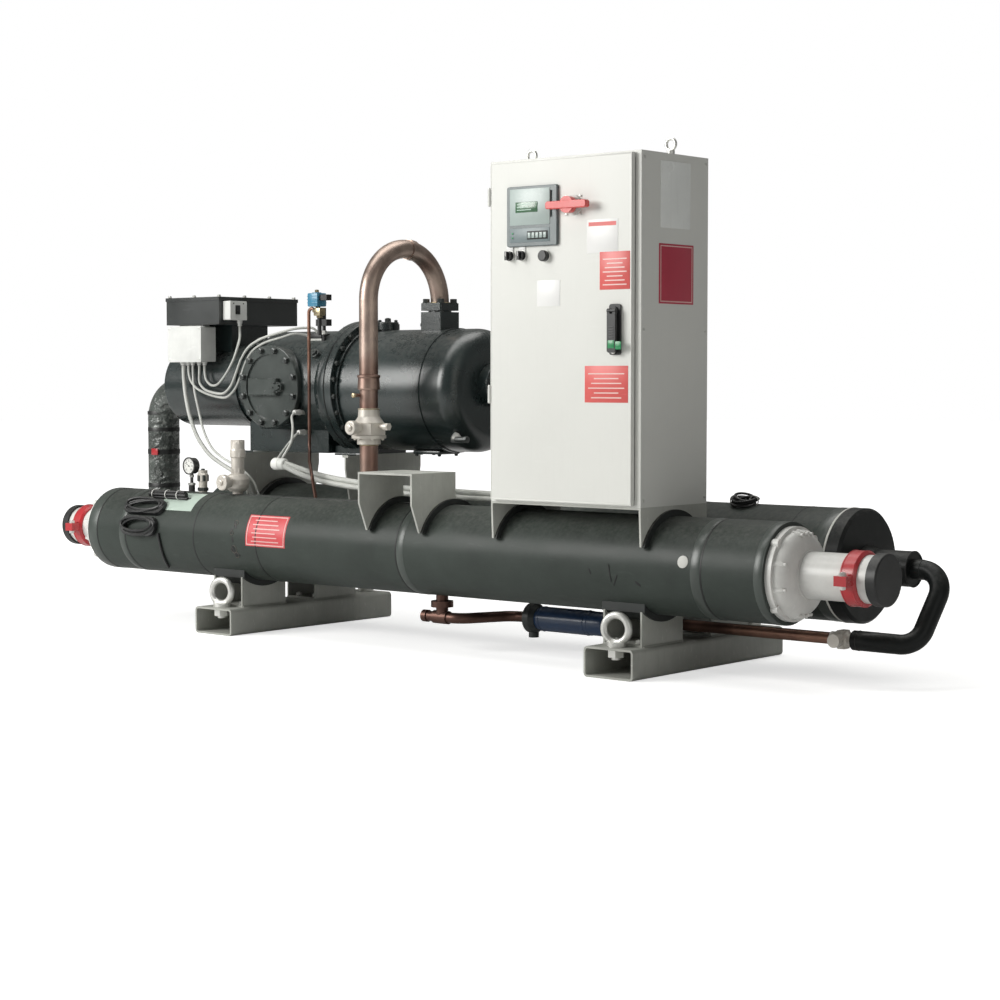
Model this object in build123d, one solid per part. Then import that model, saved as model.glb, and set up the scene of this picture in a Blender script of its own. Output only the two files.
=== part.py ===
# Water chiller on two steel rails, millimetres, +Z up, +X along the shells to the right of the cabinet door.
# X = 0 and Y = 0 are first the middle of the base; the whole is then moved to the middle of its own box.
import os
from math import cos, radians, sin, sqrt, tan

from build123d import *

os.makedirs("parts", exist_ok=True)

# Base: two open rectangular tubes across the machine, an M36 eye bolt at each end
RAIL_SPACING = 2074
RAIL_LENGTH = 972
RAIL_WIDTH = 220
RAIL_MIDDLE_Y = 60
RAIL_HEIGHT = 112
RAIL_WALL = 8
EYE_INSET = 50
EYE_RING_RADIUS = 49
EYE_BAR_RADIUS = 14
EYE_RING_RISE = 65
EYE_TURN = 10
EYE_COLLAR_RADIUS = 35.5
EYE_COLLAR_HEIGHT = 18
EYE_SHANK_RADIUS = 18
EYE_NUT_WIDTH = 55
EYE_NUT_HEIGHT = 29

# Shells: both axes at one height, either side of the middle of the base
SHELL_SPACING = 430
SHELL_AXIS_HEIGHT = 400
CONDENSER_RADIUS = 179
CONDENSER_LEFT = -1888
CONDENSER_RIGHT = 1665
EVAPORATOR_RADIUS = 205.5
EVAPORATOR_LEFT = -1592
EVAPORATOR_RIGHT = 1652
FRONT = -SHELL_SPACING / 2
REAR = SHELL_SPACING / 2
SHELL_TOP = SHELL_AXIS_HEIGHT + CONDENSER_RADIUS

# Saddles: channels on the rails with a hollowed top edge, black foam between them and the shells
SADDLE_WIDTH = 174
SADDLE_LENGTH = 250
SADDLE_HORN_HEIGHT = 241
FRONT_SADDLE_RADIUS = 204
REAR_SADDLE_RADIUS = 229
PLATE = 8
PAD_OVERHANG = 8
PAD_LOW = 20
PAD_HIGH = 30

# Condenser ends: domed head, water pipe, grooved coupling, blanked stub
HEAD_RADIUS = 165
HEAD_RIM = 24
HEAD_STEP = 12
HEAD_DEPTH = 80
HEAD_LUG_RADIUS = 17
WATER_PIPE_RADIUS = 82
WATER_PIPE_WALL = 7
RIGHT_PIPE_LENGTH = 194
LEFT_PIPE_LENGTH = 108
COUPLING_RADIUS = 95
COUPLING_WIDTH = 62
COUPLING_BEVEL = 6
COUPLING_PAD = (48, 54, 34)
COUPLING_GAP = 4
STUB_LENGTH = 98
CAP_RADIUS = 90
CAP_LENGTH = 40
CAP_END = 8

# Evaporator ends and water pipes
EVAPORATOR_CAP_LENGTH = 63
INLET_NOZZLE_RADIUS = 63.5
INLET_NOZZLE_LENGTH = 186
OUTLET_HEAD_RADIUS = 160
OUTLET_HEAD_LENGTH = 70
EVAPORATOR_PIPE_RADIUS = 70
EVAPORATOR_PIPE_WALL = 7
EVAPORATOR_PIPE_REACH = 262
EVAPORATOR_PIPE_GROOVE = 2.5
EVAPORATOR_PIPE_PLACES = (-1330, 1370)

# Suction line: straight wrapped pipe, then an elbow with a flange on the motor's end
SUCTION_RADIUS = 73
SUCTION_X = -2077
SUCTION_BEND = 150
SUCTION_PORT_HEIGHT = 998
SUCTION_ELBOW_BEND = 120
SUCTION_WRAP_TOP = 860
SUCTION_FLANGE_RADIUS = 100
SUCTION_FLANGE_THICKNESS = 24

# Liquid line under the shells, from the condenser's outlet to the expansion valve
LIQUID_Y = 0
LIQUID_PIPE_RADIUS = 21
LIQUID_HEIGHT = 160
LIQUID_LOW_HEIGHT = 134
OUTLET_X = 59
OUTLET_STUB_RADIUS = 24
OUTLET_FLANGE_RADIUS = 44
OUTLET_TEE_RADIUS = 26
LIQUID_VALVE_LEFT = 316
LIQUID_VALVE_RADIUS = 58
DRIER_LEFT = 380
DRIER_RIGHT = 675
DRIER_RADIUS = 48
EXPANSION_LEFT = 1700
EXPANSION_RIGHT = 1790
LOOP_RADIUS = 35
LOOP_BENDS = (88, 84, 110)

# Compressor: motor barrel, casting with a side cover, two bolted rings
COMPRESSOR_HEIGHT = 1035
MOTOR_HEIGHT = 1039
MOTOR_RADIUS = 184
MOTOR_LEFT = -1870
MOTOR_EDGE = 20
BODY_LEFT = -1400
BODY_LIP = 8
BODY_SHOULDER_X = -1282
BODY_SHOULDER = 42
BODY_RADIUS = 240
COVER_X = -1093
COVER_HEIGHT = 1034
COVER_RADIUS = 178
COVER_INNER_RADIUS = 140
COVER_FACE_Y = -46
COVER_THICKNESS = 26
COVER_DISH = 9
COVER_BOSS = ((-1209, 995), (-1035, 1070))
COVER_KNOB_X = -1030
RING_LEFT = -777
RING_RADIUS = 285
RING_THICKNESS = 38
RING_GAP = 4
RING_HEIGHT = 1030
MAIN_FOOT = (-1327, -841)
SECOND_FOOT = (-829, -640)
FOOT_HALF_WIDTH = 150
FOOT_BOTTOM = 750

# Oil separator: tank, weld ring, seam, rounded end with a boss, capped port on top
SEPARATOR_HEIGHT = 1020
SEPARATOR_RADIUS = 254
SEPARATOR_RIGHT = -50
SEPARATOR_KNUCKLE = 76
WELD_RING_WIDTH = 14
WELD_RING_RISE = 10
SEAM_X = -225
SEAM_WIDTH = 9
SEAM_RISE = 4
BOSS_RADIUS = 90
BOSS_DEPTH = 48
BOSS_RISE = 20
PORT_X = -632
PORT_RADIUS = 50
PORT_TOP = 1300

# Supports over the evaporator
SUPPORT_TOP = 750
SUPPORT_PLATE = 12
SUPPORT_FLANGE = 34
SUPPORT_PLACES = (-1268, -645)
SUPPORT_FRONT = -35
SUPPORT_BACK = 430
SUPPORT_SHOULDER = 70
SUPPORT_SIDE = 46

# Boxes on the motor
TERMINAL_BOX_LEFT = -1779
TERMINAL_BOX_WIDTH = 348
TERMINAL_BOX_FRONT = -21
TERMINAL_BOX_DEPTH = 481
TERMINAL_BOX_TOP = 1430
TERMINAL_BOX_HEIGHT = 122
TERMINAL_LID = 16
TERMINAL_LID_LAP = 3
JUNCTION_LEFT = -1746
JUNCTION_WIDTH = 216
JUNCTION_DEPTH = 88
JUNCTION_HEIGHT = 164
JUNCTION_LID = 26
JUNCTION_LID_LAP = 2
GLAND_BOTTOM = 1128
GLAND_Y = 10
GLANDS = ((-1702, 13), (-1669, 9), (-1640, 9), (-1597, 9), (-1562, 9))
THERMOSTAT_WIDTH = 48
THERMOSTAT_DEPTH = 99
THERMOSTAT_BOTTOM = 1327
THERMOSTAT_TOP = 1411
THERMOSTAT_GLAND_Y = 78
THERMOSTAT_X = TERMINAL_BOX_LEFT + TERMINAL_BOX_WIDTH + TERMINAL_LID_LAP + THERMOSTAT_WIDTH / 2

# Discharge line: block and flange on the separator, half circle over to the condenser, shut-off valve
DISCHARGE_X = -335
DISCHARGE_PAD = 116
DISCHARGE_PAD_TOP = 1345
DISCHARGE_FLANGE_BOTTOM = 1351
DISCHARGE_FLANGE_TOP = 1382
DISCHARGE_RADIUS = 38
ARCH_COLLAR_ANGLE = 78
ARCH_COLLAR_SWEEP = 8
DISCHARGE_COLLAR = (1024, 1084)
DISCHARGE_VALVE_TOP = 950
DISCHARGE_VALVE_BOTTOM = 805
DISCHARGE_FLARE_TOP = 610

# Brackets with two plates over the condenser
BRACKET_TIP_HEIGHT = 477
BRACKET_SHOULDER_HEIGHT = 585
BRACKET_ARC_GAP = 23
BRACKET_BAND_WIDTH = 28
SPARE_BRACKET_LEFT = -172
SPARE_BRACKET_WIDTH = 285
SPARE_BRACKET_TOP = 706
SPARE_BRACKET_REACH = 234

# Fittings on the condenser
RELIEF_X = -1108
GAUGE_X = -1400
GAUGE_HEIGHT = 690
SERVICE_X = -1328

# Oil line and its solenoid valve
OIL_LINE_X = -790
OIL_LINE_Y = -100
OIL_LINE_RADIUS = 7

# Leads between the boxes and the fittings
LEAD_ROUND_SHARE = 0.45
THICK_LEAD_RADIUS = 9
THIN_LEAD_RADIUS = 5.5
CONDUIT_RADIUS = 12
SENSOR_RADIUS = 10
SENSOR_PLACES = ((-930, -50, 925), (-960, 5, 838))
SENSOR_DEPTH = 60
LEAD_BLOCK = ((-967, 78, 1215), (-895, 132, 1258))
CONDUIT_HEAD = (-855, 712)
HANK_LOOPS = ((-1533, 37.5, 250, 75), (-1536, 10, 225, 84))
HANK_THICKNESS = 18

# Control cabinet
CABINET_WIDTH = 690
CABINET_DEPTH = 406
CABINET_HEIGHT = 1250
CABINET_RIGHT = 1168
CABINET_BACK = -5
CABINET_BOTTOM = 616
CABINET_SHEET = 2.5
CABINET_RIM = 26
DOOR_THICKNESS = 20
DOOR_GAP = 2
DOOR_SIDE_GAP = 7
DOOR_HINGE_MARGIN = 16
DOOR_FREE_MARGIN = 26
DOOR_SHEET = 2.5
KNUCKLE_X = 490
KNUCKLE_RADIUS = 7
KNUCKLE_HEIGHT = 62
KNUCKLE_PLACES = (1012, 1735)
PANEL_LOW = (582, 1548)
PANEL_HIGH = (816, 1765)
PANEL_THICKNESS = 12
PANEL_RECESS = 6
PANEL_MARGIN = 20
PANEL_WINDOW_HEIGHT = 96
SWITCH_X = 884
SWITCH_Z = 1687
SWITCH_PLATE_RADIUS = 36
SWITCH_NECK_RADIUS = 22
SWITCH_NECK = 20
SWITCH_GRIP_HALF = 92
SWITCH_GRIP_WIDTH = 28
SWITCH_HUB_RADIUS = 30
SELECTOR_PLACES = (591, 648)
SELECTOR_LOW = 1492
SELECTOR_HIGH = 1540
BUTTON_X = 756
BUTTON_Z = 1511
BUTTON_RADIUS = 20
HANDLE_X = 1074
HANDLE_TOP = 1332
HANDLE_BOTTOM = 1153
HANDLE_WIDTH = 49
HANDLE_PLATE = 8
HUB_DISC = 7
HUB_Z = HANDLE_TOP - 24
LEVER_WIDTH = 36
LEVER_EAR = 8
TONGUE_HALF = 6
HANDLE_PIN = 3
SEAT_GAP = 0.3
CABINET_EYE_RING = 20
CABINET_EYE_BAR = 6
CABINET_EYE_RISE = 36
CABINET_EYE_INSET = 22


def cylinder_x(radius, left, right, y, z):
    """Cylinder along X between two places."""
    return Pos((left + right) / 2, y, z) * Rot(0, 90, 0) * Cylinder(radius, right - left)


def cylinder_y(radius, front, back, x, z):
    """Cylinder along Y between two places."""
    return Pos(x, (front + back) / 2, z) * Rot(90, 0, 0) * Cylinder(radius, back - front)


def cylinder_z(radius, bottom, top, x, y):
    """Cylinder along Z between two heights."""
    return Pos(x, y, (bottom + top) / 2) * Cylinder(radius, top - bottom)


def box_between(low, high):
    """Box from its lowest to its highest corner."""
    size = [b - a for a, b in zip(low, high)]
    middle = [(a + b) / 2 for a, b in zip(low, high)]
    return Pos(*middle) * Box(*size)


def turned_x(profile, y, z):
    """Solid of revolution about a line along X, from (x, radius) points."""
    outline = Plane.XZ * make_face(Polyline(*profile, close=True))
    return Pos(0, y, z) * revolve(outline, Axis.X)


def turned_z(profile, x, y):
    """Solid of revolution about an upright line, from (radius, z) points."""
    outline = Plane.XZ * make_face(Polyline(*profile, close=True))
    return Pos(x, y, 0) * revolve(outline, Axis.Z)


def arc_tube(path, radius):
    """Round bar along one arc."""
    start = Plane(origin=path @ 0, z_dir=path % 0)
    return sweep(start * Circle(radius), path=path)


def lead_radii(points):
    """Bend radii of a free lead: as large as the two runs at each corner allow."""
    radii = []
    for before, corner, after in zip(points, points[1:], points[2:]):
        first = Vector(*corner) - Vector(*before)
        second = Vector(*after) - Vector(*corner)
        half_turn = radians(first.get_angle(second) / 2)
        radii.append(LEAD_ROUND_SHARE * min(first.length, second.length) / tan(half_turn))
    return radii


def lead(points, radius):
    radii = lead_radii(points)
    print("lead bends", [round(value) for value in radii])
    return pipe_along(points, radii, radius)


def pipe_along(points, radii, radius):
    """Round bar along straight runs joined by tangent arcs."""
    path = FilletPolyline(*points, radius=radii)
    start = Plane(origin=path @ 0, z_dir=path % 0)
    return sweep(start * Circle(radius), path=path)


def base_rail(x):
    """Open-ended rectangular tube with a hole for each eye bolt."""
    outer = RectangleRounded(RAIL_WIDTH, RAIL_HEIGHT, 2 * RAIL_WALL)
    inner = RectangleRounded(RAIL_WIDTH - 2 * RAIL_WALL, RAIL_HEIGHT - 2 * RAIL_WALL, RAIL_WALL)
    tube = extrude(Plane.XZ * (outer - inner), RAIL_LENGTH / 2, both=True)
    tube = Pos(x, RAIL_MIDDLE_Y, RAIL_HEIGHT / 2) * tube
    for y in eye_places():
        tube -= cylinder_z(EYE_SHANK_RADIUS + 1, RAIL_HEIGHT / 2, RAIL_HEIGHT + 1, x, y)
    return tube


def eye_places():
    reach = RAIL_LENGTH / 2 - EYE_INSET
    return (RAIL_MIDDLE_Y - reach, RAIL_MIDDLE_Y + reach)


def eye_bolt(x, y):
    ring = Rot(90, 0, 0) * Torus(EYE_RING_RADIUS, EYE_BAR_RADIUS)
    ring = Pos(x, y, RAIL_HEIGHT + EYE_RING_RISE) * Rot(0, 0, EYE_TURN) * ring
    collar = cylinder_z(EYE_COLLAR_RADIUS, RAIL_HEIGHT, RAIL_HEIGHT + EYE_COLLAR_HEIGHT, x, y)
    shank_bottom = RAIL_HEIGHT - RAIL_WALL - EYE_NUT_HEIGHT - EYE_SHANK_RADIUS / 2
    shank = cylinder_z(EYE_SHANK_RADIUS, shank_bottom, RAIL_HEIGHT + 1, x, y)
    nut = extrude(RegularPolygon(EYE_NUT_WIDTH / 2, 6, major_radius=False), EYE_NUT_HEIGHT)
    nut = Pos(x, y, RAIL_HEIGHT - RAIL_WALL - EYE_NUT_HEIGHT) * nut
    return ring + collar + shank + nut


def lifting_eyes():
    spots = [(x, y) for x in (-RAIL_SPACING / 2, RAIL_SPACING / 2) for y in eye_places()]
    return Compound([eye_bolt(x, y) for x, y in spots])



def saddle(x, y, arc):
    """Channel on a rail, its two upright plates hollowed to follow a shell."""
    channel = box_between(
        (x - SADDLE_WIDTH / 2, y - SADDLE_LENGTH / 2, RAIL_HEIGHT),
        (x + SADDLE_WIDTH / 2, y + SADDLE_LENGTH / 2, SADDLE_HORN_HEIGHT),
    )
    channel -= box_between(
        (x - SADDLE_WIDTH / 2 + PLATE, y - SADDLE_LENGTH, RAIL_HEIGHT + PLATE),
        (x + SADDLE_WIDTH / 2 - PLATE, y + SADDLE_LENGTH, SADDLE_HORN_HEIGHT + 1),
    )
    return channel - cylinder_x(arc, x - SADDLE_WIDTH, x + SADDLE_WIDTH, y, SHELL_AXIS_HEIGHT)


def saddles(x):
    return Compound([saddle(x, FRONT, FRONT_SADDLE_RADIUS), saddle(x, REAR, REAR_SADDLE_RADIUS)])


def foam_band(x, width, y, inner, outer, low, high, reach):
    """Piece of foam that fills the space between a hollowed edge and a shell."""
    block = box_between((x - width / 2, y - reach, low), (x + width / 2, y + reach, high))
    outside = cylinder_x(outer, x - width, x + width, y, SHELL_AXIS_HEIGHT)
    inside = cylinder_x(inner, x - width, x + width, y, SHELL_AXIS_HEIGHT)
    return (block & outside) - inside


def support_pads():
    half = SADDLE_LENGTH / 2 - PLATE / 2
    low, high = RAIL_HEIGHT + PAD_LOW, SADDLE_HORN_HEIGHT + PAD_HIGH
    bands = []
    for x in (-RAIL_SPACING / 2, RAIL_SPACING / 2):
        front = (FRONT, CONDENSER_RADIUS, FRONT_SADDLE_RADIUS)
        rear = (REAR, EVAPORATOR_RADIUS, REAR_SADDLE_RADIUS)
        for y, inner, outer in (front, rear):
            bands.append(foam_band(x, SADDLE_WIDTH + 2 * PAD_OVERHANG, y, inner, outer, low, high, half))
    return Compound(bands)


def condenser_shell():
    return cylinder_x(CONDENSER_RADIUS, CONDENSER_LEFT, CONDENSER_RIGHT, FRONT, SHELL_AXIS_HEIGHT)


def evaporator_shell():
    return cylinder_x(EVAPORATOR_RADIUS, EVAPORATOR_LEFT, EVAPORATOR_RIGHT, REAR, SHELL_AXIS_HEIGHT)


def condenser_head(end, side, pipe_length):
    """Domed cast head with its water pipe, side is +1 at the right end and -1 at the left."""
    rim = HEAD_RIM
    pipe_end = HEAD_DEPTH + pipe_length
    inside = HEAD_RADIUS - HEAD_STEP
    bore = WATER_PIPE_RADIUS - WATER_PIPE_WALL
    face = Polyline(
        (HEAD_DEPTH, WATER_PIPE_RADIUS),
        (pipe_end, WATER_PIPE_RADIUS),
        (pipe_end, bore),
        (0, bore),
        (0, HEAD_RADIUS),
        (rim, HEAD_RADIUS),
        (rim, inside),
    )
    bulge = EllipticalCenterArc(
        (rim, WATER_PIPE_RADIUS), HEAD_DEPTH - rim, inside - WATER_PIPE_RADIUS, 0, arc_size=90
    )
    head = revolve(Plane.XZ * make_face([face, bulge]), Axis.X)
    for spot in PolarLocations(HEAD_RADIUS - HEAD_LUG_RADIUS / 2, 4, 45):
        place = spot.position
        lug = Rot(0, 90, 0) * Cylinder(HEAD_LUG_RADIUS, rim + 4)
        head += Pos(rim / 2 + 2, place.X, place.Y) * lug
    if side < 0:
        head = mirror(head, about=Plane.YZ)
    return Pos(end, FRONT, SHELL_AXIS_HEIGHT) * head


def coupling_at(left, y=FRONT):
    """Grooved coupling: a ring in two halves with bolt pads at the front and the back."""
    right = left + COUPLING_WIDTH
    crown = COUPLING_RADIUS - COUPLING_BEVEL
    ring = turned_x(
        (
            (left, WATER_PIPE_RADIUS),
            (left, crown),
            (left + COUPLING_BEVEL, COUPLING_RADIUS),
            (right - COUPLING_BEVEL, COUPLING_RADIUS),
            (right, crown),
            (right, WATER_PIPE_RADIUS),
        ),
        y,
        SHELL_AXIS_HEIGHT,
    )
    for side in (-1, 1):
        reach = side * (COUPLING_RADIUS + COUPLING_PAD[1] / 4)
        ring += Pos((left + right) / 2, y + reach, SHELL_AXIS_HEIGHT) * Box(*COUPLING_PAD)
    return ring - cylinder_x(WATER_PIPE_RADIUS, left - 1, right + 1, y, SHELL_AXIS_HEIGHT)


def right_pipe_end():
    return CONDENSER_RIGHT + HEAD_DEPTH + RIGHT_PIPE_LENGTH


def left_pipe_end():
    return CONDENSER_LEFT - HEAD_DEPTH - LEFT_PIPE_LENGTH


def pipe_couplings():
    right = coupling_at(right_pipe_end() + COUPLING_GAP / 2 - COUPLING_WIDTH / 2)
    left = coupling_at(left_pipe_end() - COUPLING_GAP / 2 - COUPLING_WIDTH / 2)
    return Compound([right, left])


def blanking_stub(start, end):
    low, high = min(start, end), max(start, end)
    outer = cylinder_x(WATER_PIPE_RADIUS, low, high, FRONT, SHELL_AXIS_HEIGHT)
    return outer - cylinder_x(WATER_PIPE_RADIUS - WATER_PIPE_WALL, low - 1, high + 1, FRONT, SHELL_AXIS_HEIGHT)


def stub_spans():
    right = right_pipe_end() + COUPLING_GAP
    left = left_pipe_end() - COUPLING_GAP
    return ((right, right + STUB_LENGTH), (left, left - STUB_LENGTH))


def blanking_stubs():
    return Compound([blanking_stub(start, end) for start, end in stub_spans()])


def end_cap(stub_end, side):
    """Moulded plastic cap pushed over the stub, with a rounded edge."""
    inner = stub_end - side * (CAP_LENGTH - CAP_END)
    outer = stub_end + side * CAP_END
    low, high = min(inner, outer), max(inner, outer)
    cap = cylinder_x(CAP_RADIUS, low, high, FRONT, SHELL_AXIS_HEIGHT)
    rims = cap.edges().filter_by(GeomType.CIRCLE).sort_by(Axis.X)
    cap = fillet(rims[-1] if side > 0 else rims[0], CAP_END - 2)
    pocket = cylinder_x(WATER_PIPE_RADIUS, min(inner, stub_end), max(inner, stub_end), FRONT, SHELL_AXIS_HEIGHT)
    return cap - pocket


def end_caps():
    (_, right), (_, left) = stub_spans()
    return Compound([end_cap(right, 1), end_cap(left, -1)])


def evaporator_cap_right():
    """Insulated end cover with the stepped inlet nozzle on its axis."""
    face = EVAPORATOR_RIGHT + EVAPORATOR_CAP_LENGTH
    nozzle = face + INLET_NOZZLE_LENGTH
    profile = (
        (EVAPORATOR_RIGHT, 0),
        (EVAPORATOR_RIGHT, EVAPORATOR_RADIUS + 2),
        (face - 10, EVAPORATOR_RADIUS + 2),
        (face, EVAPORATOR_RADIUS - 8),
        (face, INLET_NOZZLE_RADIUS + 14),
        (face + 40, INLET_NOZZLE_RADIUS),
        (nozzle, INLET_NOZZLE_RADIUS),
        (nozzle, 0),
    )
    return turned_x(profile, REAR, SHELL_AXIS_HEIGHT)


def evaporator_head_left():
    left = EVAPORATOR_LEFT
    face = left - OUTLET_HEAD_LENGTH
    profile = (
        (left, 0),
        (left, OUTLET_HEAD_RADIUS),
        (left - 24, OUTLET_HEAD_RADIUS),
        (face, SUCTION_RADIUS + 20),
        (face, 0),
    )
    return turned_x(profile, REAR, SHELL_AXIS_HEIGHT)


def evaporator_pipe(x):
    """Water pipe on the back of the evaporator, open at its grooved end."""
    radius = EVAPORATOR_PIPE_RADIUS
    surface = REAR + sqrt(EVAPORATOR_RADIUS**2 - radius**2)
    end = REAR + EVAPORATOR_PIPE_REACH
    pipe = cylinder_y(radius, surface, end, x, SHELL_AXIS_HEIGHT)
    groove = cylinder_y(radius + 1, end - 26, end - 16, x, SHELL_AXIS_HEIGHT)
    core = cylinder_y(radius - EVAPORATOR_PIPE_GROOVE, end - 27, end - 15, x, SHELL_AXIS_HEIGHT)
    pipe -= groove - core
    pipe -= cylinder_y(radius - EVAPORATOR_PIPE_WALL, surface - 1, end + 1, x, SHELL_AXIS_HEIGHT)
    return pipe - cylinder_x(EVAPORATOR_RADIUS, x - 200, x + 200, REAR, SHELL_AXIS_HEIGHT)


def evaporator_pipes():
    return Compound([evaporator_pipe(x) for x in EVAPORATOR_PIPE_PLACES])


def inlet_loop():
    """Insulated pipe from the expansion valve round to the evaporator inlet."""
    nozzle = EVAPORATOR_RIGHT + EVAPORATOR_CAP_LENGTH + INLET_NOZZLE_LENGTH
    points = (
        (nozzle, REAR, SHELL_AXIS_HEIGHT),
        (nozzle + 135, REAR, SHELL_AXIS_HEIGHT),
        (nozzle + 92, LIQUID_Y + 78, LIQUID_HEIGHT - 12),
        (EXPANSION_RIGHT + 66, LIQUID_Y, LIQUID_HEIGHT),
        (EXPANSION_RIGHT, LIQUID_Y, LIQUID_HEIGHT),
    )
    return pipe_along(points, LOOP_BENDS, LOOP_RADIUS)


def expansion_valve():
    """Turned body on the pipe, with a hexagon in its middle and a side connector."""
    left = EXPANSION_LEFT
    profile = (
        (left, 0),
        (left, 25),
        (left + 16, 25),
        (left + 24, 31),
        (left + 64, 31),
        (left + 72, 26),
        (EXPANSION_RIGHT, 26),
        (EXPANSION_RIGHT, 0),
    )
    body = turned_x(profile, LIQUID_Y, LIQUID_HEIGHT)
    hexagon = extrude(Plane.YZ * RegularPolygon(33, 6, major_radius=False), 26)
    body += Pos(left + 34, LIQUID_Y, LIQUID_HEIGHT) * hexagon
    body += cylinder_y(20, LIQUID_Y - 58, LIQUID_Y, left + 47, LIQUID_HEIGHT)
    return body + cylinder_y(24, LIQUID_Y - 70, LIQUID_Y - 46, left + 47, LIQUID_HEIGHT)


def liquid_line_right():
    points = (
        (DRIER_RIGHT, LIQUID_Y, LIQUID_LOW_HEIGHT),
        (DRIER_RIGHT + 120, LIQUID_Y, LIQUID_LOW_HEIGHT),
        (DRIER_RIGHT + 240, LIQUID_Y, LIQUID_HEIGHT),
        (EXPANSION_LEFT, LIQUID_Y, LIQUID_HEIGHT),
    )
    return pipe_along(points, (150, 150), LIQUID_PIPE_RADIUS)


def liquid_line_left():
    points = (
        (OUTLET_X + 34, FRONT, LIQUID_LOW_HEIGHT),
        (OUTLET_X + 90, FRONT, LIQUID_LOW_HEIGHT),
        (LIQUID_VALVE_LEFT - 76, LIQUID_Y, LIQUID_LOW_HEIGHT),
        (LIQUID_VALVE_LEFT, LIQUID_Y, LIQUID_LOW_HEIGHT),
    )
    return pipe_along(points, (70, 70), LIQUID_PIPE_RADIUS)


def liquid_line():
    return Compound([liquid_line_left(), liquid_line_right()])


def liquid_valve():
    """Shut-off valve between the copper pipe and the drier, with a capped spindle below."""
    left = LIQUID_VALVE_LEFT
    profile = (
        (left, 0),
        (left, 30),
        (left + 10, 42),
        (left + 18, LIQUID_VALVE_RADIUS),
        (left + 46, LIQUID_VALVE_RADIUS),
        (DRIER_LEFT, DRIER_RADIUS - 4),
        (DRIER_LEFT, 0),
    )
    body = turned_x(profile, LIQUID_Y, LIQUID_LOW_HEIGHT)
    return body + cylinder_z(20, LIQUID_LOW_HEIGHT - 76, LIQUID_LOW_HEIGHT, left + 32, LIQUID_Y)


def filter_drier():
    """Long drier shell with a rounded shoulder at each end."""
    left = DRIER_LEFT
    right = DRIER_RIGHT
    neck = LIQUID_PIPE_RADIUS + 8
    profile = (
        (left, 0),
        (left, DRIER_RADIUS - 6),
        (left + 14, DRIER_RADIUS),
        (right - 36, DRIER_RADIUS),
        (right - 20, DRIER_RADIUS - 8),
        (right - 12, neck),
        (right, neck),
        (right, 0),
    )
    return turned_x(profile, LIQUID_Y, LIQUID_LOW_HEIGHT)


def liquid_outlet():
    """Flanged stub, tee and service fitting under the condenser."""
    bottom = SHELL_AXIS_HEIGHT - CONDENSER_RADIUS
    stub = cylinder_z(OUTLET_STUB_RADIUS, LIQUID_LOW_HEIGHT, bottom + 2, OUTLET_X, FRONT)
    flange = cylinder_z(OUTLET_FLANGE_RADIUS, bottom - 46, bottom - 22, OUTLET_X, FRONT)
    tee = cylinder_x(OUTLET_TEE_RADIUS, OUTLET_X - 40, OUTLET_X + 34, FRONT, LIQUID_LOW_HEIGHT)
    fitting = cylinder_x(20, OUTLET_X - 72, OUTLET_X - 40, FRONT, LIQUID_LOW_HEIGHT)
    cap = cylinder_x(24, OUTLET_X - 96, OUTLET_X - 72, FRONT, LIQUID_LOW_HEIGHT)
    whole = stub + flange + tee + fitting + cap
    return whole - cylinder_x(CONDENSER_RADIUS, OUTLET_X - 200, OUTLET_X + 200, FRONT, SHELL_AXIS_HEIGHT)


def suction_pipe():
    """Wrapped suction pipe up from the evaporator's left head."""
    head = EVAPORATOR_LEFT - OUTLET_HEAD_LENGTH
    points = (
        (head, REAR, SHELL_AXIS_HEIGHT),
        (SUCTION_X, REAR, SHELL_AXIS_HEIGHT),
        (SUCTION_X, REAR, SUCTION_WRAP_TOP),
    )
    return pipe_along(points, (SUCTION_BEND,), SUCTION_RADIUS)


def suction_elbow():
    """Elbow from the straight pipe into the end of the motor, with its flange."""
    height = SUCTION_PORT_HEIGHT
    flange_face = MOTOR_LEFT - SUCTION_FLANGE_THICKNESS
    points = (
        (SUCTION_X, REAR, SUCTION_WRAP_TOP),
        (SUCTION_X, REAR, height),
        (flange_face, REAR, height),
    )
    elbow = pipe_along(points, (SUCTION_ELBOW_BEND,), SUCTION_RADIUS)
    return elbow + cylinder_x(SUCTION_FLANGE_RADIUS, flange_face, MOTOR_LEFT, REAR, height)


def compressor_motor():
    """Motor barrel with a rounded end and the neck that carries the terminal box."""
    motor = cylinder_x(MOTOR_RADIUS, MOTOR_LEFT, BODY_LEFT, REAR, MOTOR_HEIGHT)
    edge = motor.edges().filter_by(GeomType.CIRCLE).sort_by(Axis.X)[0]
    motor = fillet(edge, MOTOR_EDGE)
    neck_top = TERMINAL_BOX_TOP - TERMINAL_BOX_HEIGHT
    middle = TERMINAL_BOX_LEFT + TERMINAL_BOX_WIDTH / 2
    neck = box_between((middle - 120, REAR - 110, MOTOR_HEIGHT), (middle + 120, REAR + 110, neck_top))
    return motor + neck


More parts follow.
